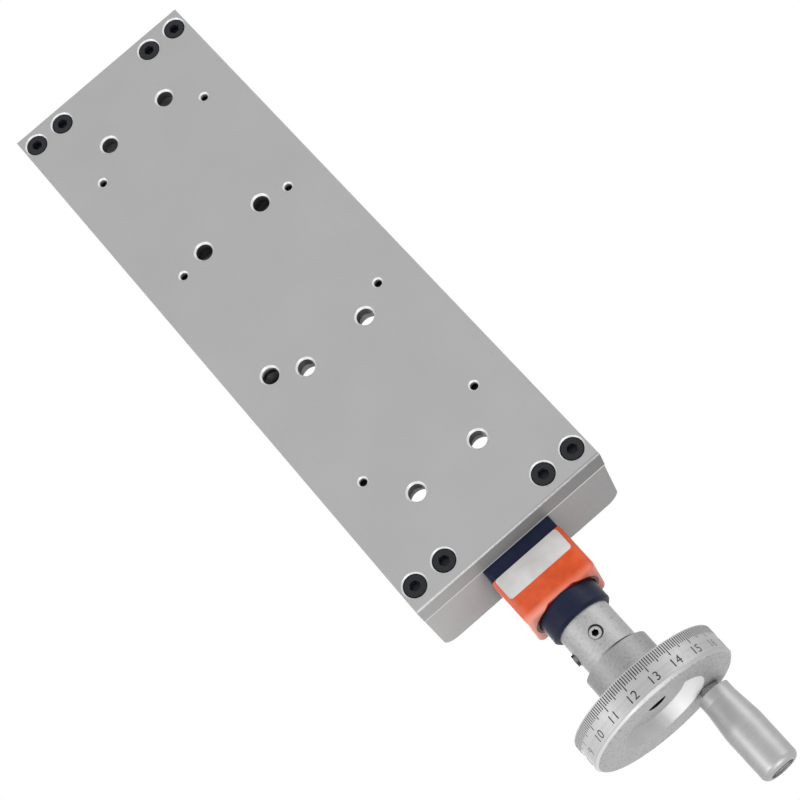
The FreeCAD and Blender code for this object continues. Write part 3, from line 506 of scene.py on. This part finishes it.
def satinWheelFinish():
    look = {
        "casting": [(0.25, grey(0.27)), (0.42, grey(0.40)), (0.68, grey(0.48))], "cast": 1.1,
        "rimDark": grey(0.385), "rimLight": grey(0.46), "turning": 0.35, "rimIn": (-0.9, -0.4),
        "rimShade": (1.0, 1.3), "rimShadeX": (12, 28),
        "pits": [(0.34, grey(0.5)), (0.44, grey(1.0))], "pit": 0.8, "faceFade": (0.35, 0.45),
        "cone": [(0.31, grey(0.79)), (0.52, grey(0.35)), (0.62, grey(0.33)), (0.77, grey(0.45))],
        "coneIn": 13.4, "coneOut": 18.5, "coneDeep": (0.4, 5.4),
        "lightened": grey(0.66), "chamfer": 0.95, "chamferHighlight": (0.1, 1.0), "chamferHighlightX": (4, 9),
        "shadowTone": (0.012, 0.012, 0.013), "eye": (4.05, 4.15),
        "mouth": (2.8, 3.05), "mouthShift": (-0.35, 0, 0),
        "hubRadius": 11.3, "hubFade": (0, 0.2), "wideRadius": 20, "wideShade": grey(0.78),
        "stepOut": 26.9, "stepLine": (-0.2, 1.5), "stepShadow": (0.85, 0.05), "stepShadowX": (-3, 5),
        "rough": (0.48, 0.6), "metal": 0.7}
    low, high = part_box("handwheel")
    rimRadius = high.x
    hubRadius = look["hubRadius"] * mm
    stepY = low.y + look["stepOut"] * mm
    finish, tree, shader = newFinish("satin_aluminium")
    ring, radius, along = turnedPlace(tree, axisZ)
    across = axisPart(tree, "X")
    place = objectPlace(tree)
    cast = noise(tree, place, look["cast"], detail=4, roughness=0.6)
    lines = noise(tree, ring, look["turning"])
    onRim = after(tree, radius, *fromEdge(rimRadius, look["rimIn"]))
    rimTone = twoTone(tree, lines, look["rimDark"], look["rimLight"])
    rimTone = shaded(tree, rimTone, spread(tree, across, *look["rimShade"], *fromEdge(0, look["rimShadeX"])))
    onWide = between(tree, radius, hubRadius, look["wideRadius"] * mm)
    onWide = both(tree, onWide, between(tree, along, low.y + rimWidth, stepY))
    castTone = shaded(tree, ramp(tree, cast, look["casting"]), look["wideShade"], onWide)
    tone = blendColour(tree, onRim, castTone, rimTone)
    onFace = before(tree, along, *fromEdge(low.y, look["faceFade"]))
    pits = noise(tree, place, look["pit"], detail=3, roughness=0.6)
    tone = shaded(tree, tone, ramp(tree, pits, look["pits"]), onFace)  # pitted front face
    coneOut = look["coneOut"] * mm
    inCone = between(tree, radius, look["coneIn"] * mm, coneOut)
    inCone = both(tree, inCone, between(tree, along, *fromEdge(low.y, look["coneDeep"])))
    coneTone = ramp(tree, after(tree, across, -coneOut, coneOut), look["cone"])
    tone = blendColour(tree, inCone, tone, coneTone)  # painted reflection on the recess's turned wall: bright towards -X, darker from the middle on
    chamfer = look["chamfer"] * mm
    onChamfer = between(tree, radius, rimRadius - chamfer, rimRadius + mm)
    onChamfer = both(tree, onChamfer, between(tree, along, low.y - mm, low.y + chamfer))
    chamferHighlight = spread(tree, across, *look["chamferHighlight"], *fromEdge(0, look["chamferHighlightX"]))
    tone = blendColour(tree, both(tree, onChamfer, chamferHighlight), tone, look["lightened"])  # painted highlight: the rim's front chamfer is lighter towards +X
    paintedShade = before(tree, radius, *fromEdge(0, look["eye"]))  # painted shade: the bore in the recess is near black
    for label, out in (("lower", (0, 0, -1)), ("side", (1, 0, 0))):  # painted shadow in the gaps round the hub's set screws
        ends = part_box(label + "_hub_set_screw")
        hubFace = Vector((0, (ends[0].y + ends[1].y) / 2, axisZ)) + Vector(out) * hubRadius
        gapMiddle = hubFace + Vector(look["mouthShift"]) * mm
        paintedShade = either(tree, paintedShade, nearPoint(tree, gapMiddle, *fromEdge(0, look["mouth"])))
    onHub = before(tree, radius, *fromEdge(hubRadius, look["hubFade"]))
    byStep = both(tree, onHub, between(tree, along, *fromEdge(stepY, look["stepLine"])))
    stepShadow = spread(tree, across, *look["stepShadow"], *fromEdge(0, look["stepShadowX"]))
    paintedShade = either(tree, paintedShade, both(tree, byStep, stepShadow))  # painted shadow along the hub's step, fading towards +X
    # the painted shade goes on near black
    tone = blendColour(tree, paintedShade, tone, look["shadowTone"])
    paint(tree, shader, tone, spread(tree, cast, *look["rough"]), look["metal"])
    relief = addNode(tree, "Mix", data_type="FLOAT")
    for source, socket in ((onRim, 0), (cast, 2), (lines, 3)):
        tree.links.new(source, relief.inputs[socket])
    bump(tree, shader, relief.outputs[0], strength=0.3, depth=0.12)
    return finish


# set screws: bright end face, painted darker towards its rim and black in the socket as shade, told apart by
# the distance from the screw's own axis

def setScrewFinish(label, axis, face):  # face is where the socket opens, along the axis
    look = {
        "face": [(0.84, grey(0.52)), (0.97, grey(0.24))], "radius": 2.5, "speck": 0.4,
        "socket": grey(0.006), "socketRadius": (1.5, 1.55),
        "dull": grey(0.85), "rough": (0.22, 0.36), "metal": 0.9}
    low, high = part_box(label)
    middle = (low + high) / 2
    across = [0 if name == axis else 1 for name in "XYZ"]
    shift = [-part * keep for part, keep in zip(middle, across)]
    finish, tree, shader = newFinish(label + "_steel")
    radius = lengthOf(tree, objectPlace(tree, across, shift))
    share = after(tree, radius, 0.0, look["radius"] * mm)
    # painted shade: the face darkens towards the screw's rim
    tone = ramp(tree, share, look["face"])
    inward = face + math.copysign(soft, middle["XYZ".index(axis)] - face)
    inSocket = before(tree, radius, *fromEdge(0, look["socketRadius"]))
    inSocket = both(tree, inSocket, after(tree, axisPart(tree, axis), face, inward))
    # painted shade: the socket is near black
    tone = blendColour(tree, inSocket, tone, look["socket"])
    fine = noise(tree, objectPlace(tree), look["speck"], detail=3)
    tone = shaded(tree, tone, twoTone(tree, fine, look["dull"], grey(1.0)))
    paint(tree, shader, tone, spread(tree, fine, *look["rough"]), look["metal"])
    return finish


gripAxis = joints["grip_turn"]["pos_m"]
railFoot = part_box("left_rail")[0].z
finishes = {
    "anodised_aluminium": anodisedFinish(),
    "black_oxide_steel": blackOxideFinish(),
    "rail_steel": groundSteelFinish("rail_steel", 0.30, 0.46, railFoot),
    "carriage_steel": groundSteelFinish("carriage_steel", 0.28, 0.42, railFoot),
    "lower_screw_steel": setScrewFinish("lower_hub_set_screw", "Z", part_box("lower_hub_set_screw")[0].z),
    "side_screw_steel": setScrewFinish("side_hub_set_screw", "X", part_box("side_hub_set_screw")[1].x),
    "shaft_steel": turnedSteelFinish("shaft_steel", 0.36, 0.52, 0, axisZ),
    "cap_plastic": mouldedFinish("cap_plastic", grey(0.01), grey(0.02), (0.4, 0.6), peel=0.5, depth=0.04),
    "bronze": bronzeFinish(),
    "dark_plastic": mouldedFinish(
        "dark_plastic", (0.009, 0.013, 0.034), (0.014, 0.019, 0.046), (0.35, 0.5), peel=0.6, gloss=0.15),
    "orange_plastic": housingFinish(),
    "clear_plastic": clearFinish(),
    "drum_plastic": mouldedFinish("drum_plastic", grey(0.012), grey(0.02), (0.4, 0.55)),
    "units_plastic": mouldedFinish("units_plastic", (0.40, 0.012, 0.008), (0.5, 0.02, 0.012), (0.4, 0.55)),
    "satin_aluminium": satinWheelFinish(),
    "polished_aluminium": turnedSteelFinish(
        "polished_aluminium", 0.40, 0.46, gripAxis[0], gripAxis[2], size=0.5, rough=(0.42, 0.54),
        metal=0.75),
    "spindle_steel": turnedSteelFinish("spindle_steel", 0.2, 0.36, gripAxis[0], gripAxis[2], size=0.3),
    "black_ink": inkFinish(),
    "white_ink": mouldedFinish("white_ink", grey(0.72), grey(0.8), (0.5, 0.7), peel=0.3, depth=0.01),
    "label_film": mouldedFinish("label_film", grey(0.55, 0.01), grey(0.69, 0.008), (0.32, 0.5), peel=1.2),
}

nodeFinishes = {
    "anodised_aluminium": ["base_plate", "front_block", "rear_block", "slide_table", "bearing_retainer"],
    "black_oxide_steel": [
        "front_block_screws", "rear_block_screws", "rail_screws", "retainer_screws", "carriage_screws",
        "nut_screws", "lock_nut", "shaft_circlip", "collar_set_screw"],
    "rail_steel": ["left_rail", "right_rail"],
    "carriage_steel": [corner + "_carriage" for corner in corners],
    "cap_plastic": [corner + "_end_caps" for corner in corners],
    "bronze": ["lead_nut"],
    "shaft_steel": [
        "lead_screw", "front_bearing_outer_rings", "front_bearing_inner_rings", "rear_bearing_outer_ring",
        "rear_bearing_inner_ring", "bearing_spacer", "torque_pin", "drum_axle", "indicator_shaft"],
    "lower_screw_steel": ["lower_hub_set_screw"],
    "side_screw_steel": ["side_hub_set_screw"],
    "dark_plastic": ["indicator_base", "indicator_collar"],
    "orange_plastic": ["indicator_housing"],
    "clear_plastic": ["indicator_window"],
    "drum_plastic": ["thousands_drum", "hundreds_drum", "tens_drum"],
    "units_plastic": ["units_drum"],
    "satin_aluminium": ["handwheel"],
    "polished_aluminium": ["handle_grip"],
    "spindle_steel": ["handle_spindle"],
}
for finishName, members in nodeFinishes.items():
    for member in members:
        nodes[member].data.materials.clear()
        nodes[member].data.materials.append(finishes[finishName])
print("finishes:", len(finishes), "on", sum(len(members) for members in nodeFinishes.values()), "nodes")


# numbers wrapped on a drum whose axis is the local Z: each stands at a radius, then turns into place

lettering = {"curveSteps": 4, "spacing": 1.05, "relief": 0.06}


def wrapText(words, size, radius, stand):  # stand turns and places the flat text in the drum's own frame
    startPiece()
    bpy.ops.object.text_add(location=(0, 0, 0))
    text = bpy.context.object
    text.data.body = words
    text.data.size = size
    text.data.align_x = "CENTER"
    text.data.align_y = "CENTER"
    text.data.resolution_u = lettering["curveSteps"]
    text.data.space_character = lettering["spacing"]
    bpy.ops.object.convert(target="MESH")
    flat = bpy.context.object
    flat.matrix_world = stand
    settle(flat)
    wrap = flat.modifiers.new("wrap", "CAST")
    wrap.cast_type = "CYLINDER"
    wrap.factor = 1
    wrap.use_radius_as_size = False
    wrap.size = radius
    wrap.use_z = False
    solid = flat.modifiers.new("relief", "SOLIDIFY")
    solid.thickness = lettering["relief"] * mm
    solid.offset = 0
    applyAll(flat)
    return flat


# graduated dial on the wheel's rim

dial = {
    "numbers": 20, "parts": 10, "atBottom": 12.63,  # value that stands lowest at rest
    "numberSize": 4.8, "numberOut": 8.5,
    "tickLengths": {1: 3.4, 5: 4.4, 10: 5.2}, "tickWidth": 0.4, "tickStart": 0.35, "tickRelief": 0.06,
    "tickBevel": 0.02}


def makeDial():
    low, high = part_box("handwheel")
    rimRadius = high.x
    wheelTurn = Matrix(((-1, 0, 0, 0), (0, 0, 1, low.y + rimWidth), (0, 1, 0, axisZ), (0, 0, 0, 1)))
    tickCount = dial["numbers"] * dial["parts"]
    step = 2 * math.pi / tickCount
    masters = {}
    for every, length in dial["tickLengths"].items():
        middle = -(dial["tickStart"] + length / 2) * mm
        size = Vector((dial["tickWidth"], dial["tickRelief"], length)) * mm
        masters[every] = addSlab((0, -rimRadius, middle), size)
        bevelEdges(
            "EDGE", lambda mesh, edge: all(end.y < -rimRadius for end in edgeEnds(mesh, edge)),
            dial["tickBevel"] * mm)
    marks = []
    for count in range(tickCount):
        every = max(spacing for spacing in masters if count % spacing == 0)
        angle = step * (count - dial["atBottom"] * dial["parts"])
        marks.append(copyOf(masters[every], Matrix.Rotation(angle, 4, "Z")))
    for tick in masters.values():
        bpy.data.objects.remove(tick)
    stand = Matrix.Translation((0, -rimRadius, -dial["numberOut"] * mm))
    stand = stand @ Matrix.Rotation(math.radians(90), 4, "X")
    digits = []
    for value in range(dial["numbers"]):
        number = wrapText(str(value), dial["numberSize"] * mm, rimRadius, stand)
        number.matrix_world = Matrix.Rotation(step * dial["parts"] * (value - dial["atBottom"]), 4, "Z")
        digits.append(number)
    for name, group in (("dial_marks", marks), ("dial_numbers", digits)):
        piece = joinAs(name, group)
        piece.matrix_world = wheelTurn
        settle(piece)
        dress(piece, finishes["black_ink"], "screw")
    print("dial:", len(marks), "marks and", len(digits), "numbers")


# digits on the four counting drums

drumDigits = {"size": 3.4, "count": 10, "tilt": 49.6}  # tilt of the window, in degrees


def makeDrumDigits():
    tilt = math.radians(drumDigits["tilt"])
    facing = Vector((0, -math.sin(tilt), math.cos(tilt)))
    across = Vector((1, 0, 0)).cross(facing)
    step = 2 * math.pi / drumDigits["count"]
    drums = {"thousands": "base", "hundreds": "base", "tens": "base", "units": "units"}
    for label, body in drums.items():
        low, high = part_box(label + "_drum")
        middle = (low + high) / 2
        radius = (high.z - low.z) / 2
        upright = Matrix(((0, 0, 1, radius), (0, -1, 0, 0), (1, 0, 0, 0), (0, 0, 0, 1)))
        group = []
        for value in range(drumDigits["count"]):
            digit = wrapText(str(value), drumDigits["size"] * mm, radius, upright)
            digit.matrix_world = Matrix.Rotation(-step * value, 4, "Z")
            group.append(digit)
        piece = joinAs(label + "_digits", group)
        piece.matrix_world = Matrix((
            (facing.x, across.x, 1, middle.x), (facing.y, across.y, 0, middle.y),
            (facing.z, across.z, 0, middle.z), (0, 0, 0, 1)))
        settle(piece)
        dress(piece, finishes["white_ink"], body)
    print("drum digits:", len(drums), "drums")


# bare label plate on the indicator's underside

labelPlate = {
    "width": 29.6, "shiftX": 0.2, "outStart": 6.6, "outEnd": 16.3, "thick": 0.3, "sunk": 0.02,
    "corner": 1.3, "cornerSteps": 6, "edge": 0.08, "edgeSteps": 2, "sharp": 40}


def makeLabel():
    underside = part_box("indicator_housing")[0].z
    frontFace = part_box("front_block")[0].y
    thick = labelPlate["thick"] * mm
    outMiddle = (labelPlate["outStart"] + labelPlate["outEnd"]) / 2
    middleZ = underside - thick / 2 + labelPlate["sunk"] * mm
    deep = (labelPlate["outEnd"] - labelPlate["outStart"]) * mm
    place = (labelPlate["shiftX"] * mm, frontFace - outMiddle * mm, middleZ)
    label = addSlab(place, (labelPlate["width"] * mm, deep, thick))

    def isUpright(mesh, edge):
        ends = edgeEnds(mesh, edge)
        return abs(ends[0].z - ends[1].z) > thick / 2

    bevelEdges("EDGE", isUpright, labelPlate["corner"] * mm, labelPlate["cornerSteps"])
    lowest = min(vertex.co.z for vertex in label.data.vertices)
    bevelEdges(
        "EDGE", lambda mesh, edge: all(end.z < lowest + slack for end in edgeEnds(mesh, edge)),
        labelPlate["edge"] * mm, labelPlate["edgeSteps"])
    label.name = "indicator_label"
    smooth(label, labelPlate["sharp"])
    dress(label, finishes["label_film"], "base")
    print("label: bare plate")


# a helical ridge round the local Z, closed at both ends

def threadRidge(name, root, crest, pitch, turns, steps, rootWidth, crestWidth):
    middle = (root + crest) / 2
    startPiece()
    bpy.ops.mesh.primitive_plane_add(size=1, location=(middle, 0, 0), rotation=(math.radians(90), 0, 0))
    ridge = bpy.context.object
    ridge.name = name
    ridge.scale = (crest - root, crestWidth, 1)
    settle(ridge)
    pick("VERT", lambda mesh, vertex: vertex.co.x < middle)
    bpy.ops.transform.resize(value=(1, 1, rootWidth / crestWidth), center_override=(root, 0, 0))
    bpy.ops.mesh.select_all(action="SELECT")
    bpy.ops.mesh.delete(type="ONLY_FACE")
    bpy.ops.object.mode_set(mode="OBJECT")
    helix = ridge.modifiers.new("helix", "SCREW")
    helix.axis = "Z"
    helix.angle = 2 * math.pi * turns
    helix.screw_offset = pitch * turns
    helix.steps = int(steps * turns)
    helix.render_steps = helix.steps
    helix.use_smooth_shade = False
    applyAll(ridge)
    bpy.ops.object.mode_set(mode="EDIT")
    bpy.ops.mesh.select_mode(type="EDGE")
    bpy.ops.mesh.select_all(action="SELECT")
    bpy.ops.mesh.region_to_loop()
    bpy.ops.mesh.fill_holes(sides=4)
    bpy.ops.object.mode_set(mode="OBJECT")
    return closeUp(ridge)


# a turned shaft along the local Z, ring by ring

def turnedShaft(name, profile, sides):
    startPiece()
    radius, height = profile[0]
    bpy.ops.mesh.primitive_circle_add(
        vertices=sides, radius=radius, fill_type="NGON", location=(0, 0, height))
    shaft = bpy.context.object
    shaft.name = name
    settle(shaft)
    bpy.ops.object.mode_set(mode="EDIT")
    bpy.ops.mesh.select_mode(type="FACE")
    bpy.ops.mesh.select_all(action="SELECT")
    for nextRadius, nextHeight in profile[1:]:
        bpy.ops.mesh.extrude_region_move(TRANSFORM_OT_translate={"value": (0, 0, nextHeight - height)})
        share = nextRadius / radius
        bpy.ops.transform.resize(value=(share, share, 1), center_override=(0, 0, nextHeight))
        radius, height = nextRadius, nextHeight
    bpy.ops.object.mode_set(mode="OBJECT")
    return closeUp(shaft)


# lead screw with its trapezoidal thread

leadThread = {
    "lengths": {  # radii too, all in mm
        "neck": 6, "tip": 0.8, "full": 7, "fullLength": 2.5, "runOut": 1.2, "core": 5.4, "rear": 5,
        "groove": 0.3, "crest": 6.95, "pitch": 4, "crestWidth": 1.3, "rootWidth": 2.6, "sunk": 0.1,
        "endGap": 1.5},
    "steps": 28, "sides": 64, "sharp": 35}


def makeLeadScrew():
    size = {key: value * mm for key, value in leadThread["lengths"].items()}
    neck, full, core, rear = [size[key] for key in ("neck", "full", "core", "rear")]
    low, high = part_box("lead_screw")
    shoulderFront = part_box("bearing_retainer")[0].y
    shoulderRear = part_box("rear_bearing_inner_ring")[0].y
    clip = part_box("shaft_circlip")
    alongAxis = Matrix(((-1, 0, 0, 0), (0, 0, 1, 0), (0, 1, 0, axisZ), (0, 0, 0, 1)))
    threadFront = shoulderFront + size["fullLength"]
    threadRear = shoulderRear - size["fullLength"]
    grooveFloor = rear - size["groove"]
    profile = [
        (neck - size["tip"], low.y), (neck, low.y + size["tip"]), (neck, shoulderFront),
        (full, shoulderFront), (full, threadFront), (core, threadFront + size["runOut"]),
        (core, threadRear - size["runOut"]), (full, threadRear), (full, shoulderRear),
        (rear, shoulderRear), (rear, clip[0].y), (grooveFloor, clip[0].y), (grooveFloor, clip[1].y),
        (rear, clip[1].y), (rear, high.y - size["groove"]), (grooveFloor, high.y)]
    shaft = turnedShaft("screw_shaft", profile, leadThread["sides"])
    smooth(shaft, leadThread["sharp"])
    threadStart = threadFront + size["endGap"]
    turns = math.floor((threadRear - size["endGap"] - threadStart) / size["pitch"])
    ridge = threadRidge(
        "screw_ridge", core - size["sunk"], size["crest"], size["pitch"], turns, leadThread["steps"],
        size["rootWidth"], size["crestWidth"])
    ridge.matrix_world = Matrix.Translation((0, 0, threadStart))
    smooth(ridge, leadThread["sharp"])
    piece = joinAs("lead_screw_thread", [shaft, ridge])
    piece.matrix_world = alongAxis
    settle(piece)
    dress(piece, finishes["shaft_steel"], "screw")
    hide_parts("lead_screw")
    print("lead screw:", turns, "turns of thread")


# small button heads on the carriages' end caps

capScrew = {
    "radius": 1.6, "height": 0.55, "dome": 0.3, "domeSteps": 3, "socket": 0.8, "socketDeep": 0.35,
    "acrossX": 10.6, "rise": 20.5, "sides": 24, "sharp": 35}


def makeCapScrews():
    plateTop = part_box("base_plate")[1].z
    height = capScrew["height"] * mm
    startPiece()
    bpy.ops.mesh.primitive_cylinder_add(
        vertices=capScrew["sides"], radius=capScrew["radius"] * mm, depth=height)
    head = bpy.context.object
    atTop = height / 2 - slack
    bevelEdges(
        "FACE", lambda mesh, face: face.center.z > atTop, capScrew["dome"] * mm, capScrew["domeSteps"])
    pick("FACE", lambda mesh, face: face.center.z > atTop and face.normal.z > 0.99)
    bpy.ops.mesh.inset(thickness=(capScrew["radius"] - capScrew["dome"] - capScrew["socket"]) * mm)
    bpy.ops.mesh.extrude_region_move(TRANSFORM_OT_translate={"value": (0, 0, -capScrew["socketDeep"] * mm)})
    bpy.ops.object.mode_set(mode="OBJECT")
    smooth(head, capScrew["sharp"])
    copies = []
    for corner in corners:
        low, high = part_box(corner + "_end_caps")
        middleX = (low.x + high.x) / 2
        for y, turn in ((low.y, 90), (high.y, -90)):
            facing = Matrix.Rotation(math.radians(turn), 4, "X")
            for shift in (-capScrew["acrossX"], capScrew["acrossX"]):
                spot = Vector((middleX + shift * mm, y, plateTop + capScrew["rise"] * mm))
                copies.append(copyOf(head, Matrix.Translation(spot) @ facing))
    bpy.data.objects.remove(head)
    piece = joinAs("cap_screws", copies)
    dress(piece, finishes["black_oxide_steel"], "table")
    print("cap screws:", len(copies))


makeDial()
makeDrumDigits()
makeLabel()
makeLeadScrew()
makeCapScrews()


# floor: seen from above only, so that the camera below looks past it

ground = {"size": 6, "gap": 0.2, "dark": 0.80, "light": 0.84, "cloud": 180, "rough": 0.8}


def makeFloor():
    startPiece()
    bpy.ops.mesh.primitive_plane_add(size=ground["size"], location=(0, 0, cadBox[0].z - ground["gap"] * mm))
    floor = bpy.context.object
    floor.name = "floor"
    finish, tree, shader = newFinish("floor_paint")
    clouds = noise(tree, objectPlace(tree), ground["cloud"])
    tone = twoTone(tree, clouds, grey(ground["dark"]), grey(ground["light"]))
    tree.links.new(tone, shader.inputs["Base Color"])
    shader.inputs["Roughness"].default_value = ground["rough"]
    rays = addNode(tree, "LightPath")
    faces = addNode(tree, "NewGeometry")
    fromAbove = addNode(tree, "Math", operation="SUBTRACT")
    fromAbove.inputs[0].default_value = 1
    tree.links.new(faces.outputs["Backfacing"], fromAbove.inputs[1])
    seen = both(tree, fromAbove.outputs[0], rays.outputs["Is Camera Ray"])
    clear = addNode(tree, "BsdfTransparent")
    mixShaders(tree, seen, clear.outputs[0], shader.outputs[0], tree.nodes["Material Output"])
    floor.data.materials.append(finish)


# white background, softer light on the object

studio = {
    "ambient": 0.56,
    "lamps": {
        "front": {"place": (-0.2, -3.6, -1.7), "size": 1.6, "power": 60},
        "side": {"place": (3.0, -0.4, -2.1), "size": 1.2, "power": 45},
        "fill": {"place": (-3.0, 0.8, -1.8), "size": 2.0, "power": 30},
        "over": {"place": (0.6, 1.8, 3.5), "size": 2.5, "power": 60},
        "rear": {"place": (-1.5, 3.2, 1.6), "size": 2.0, "power": 22}}}


def makeStudio():
    world = bpy.data.worlds.new("studio")
    bpy.context.scene.world = world
    world.use_nodes = True
    tree = world.node_tree
    ambient = tree.nodes["Background"]
    ambient.inputs["Color"].default_value = (1, 1, 1, 1)
    ambient.inputs["Strength"].default_value = studio["ambient"]
    white = addNode(tree, "Background", {"Color": (1, 1, 1, 1), "Strength": 1.0})
    rays = addNode(tree, "LightPath")
    showsWhite = rays.outputs["Is Camera Ray"]
    for name in ("Is Glossy Ray", "Is Transmission Ray"):
        showsWhite = either(tree, showsWhite, rays.outputs[name])
    mixShaders(tree, showsWhite, ambient.outputs[0], white.outputs[0], tree.nodes["World Output"])
    aim = (cadBox[0] + cadBox[1]) / 2
    for name, lamp in studio["lamps"].items():
        light = bpy.data.lights.new(name + "_lamp", "AREA")
        light.shape = "SQUARE"
        light.size = lamp["size"]
        light.energy = lamp["power"]
        item = bpy.data.objects.new(name + "_lamp", light)
        bpy.context.scene.collection.objects.link(item)
        item.location = lamp["place"]
        item.rotation_euler = (aim - item.location).to_track_quat("-Z", "Y").to_euler()


# camera, below and in front of the part, its place in mm

camera = {
    "place": (29.592, -386.114, -658.585),
    "right": (-0.754673, -0.605425, 0.252843),
    "up": (-0.654555, 0.668299, -0.353462),
    "lens": 87.215, "sensor": 36, "nearest": 0.01}


def makeCamera():
    right = Vector(camera["right"]).normalized()
    up = Vector(camera["up"])
    up = (up - right * up.dot(right)).normalized()
    back = right.cross(up)
    lens = bpy.data.cameras.new("camera")
    lens.sensor_width = camera["sensor"]
    lens.lens = camera["lens"]
    lens.clip_start = camera["nearest"]
    item = bpy.data.objects.new("camera", lens)
    bpy.context.scene.collection.objects.link(item)
    turn = Matrix((right, up, back)).transposed().to_4x4()
    item.matrix_world = Matrix.Translation(Vector(camera["place"]) * mm) @ turn
    bpy.context.scene.camera = item


makeFloor()
makeStudio()
makeCamera()
bpy.context.scene.view_settings.view_transform = "Standard"
print("studio ready")
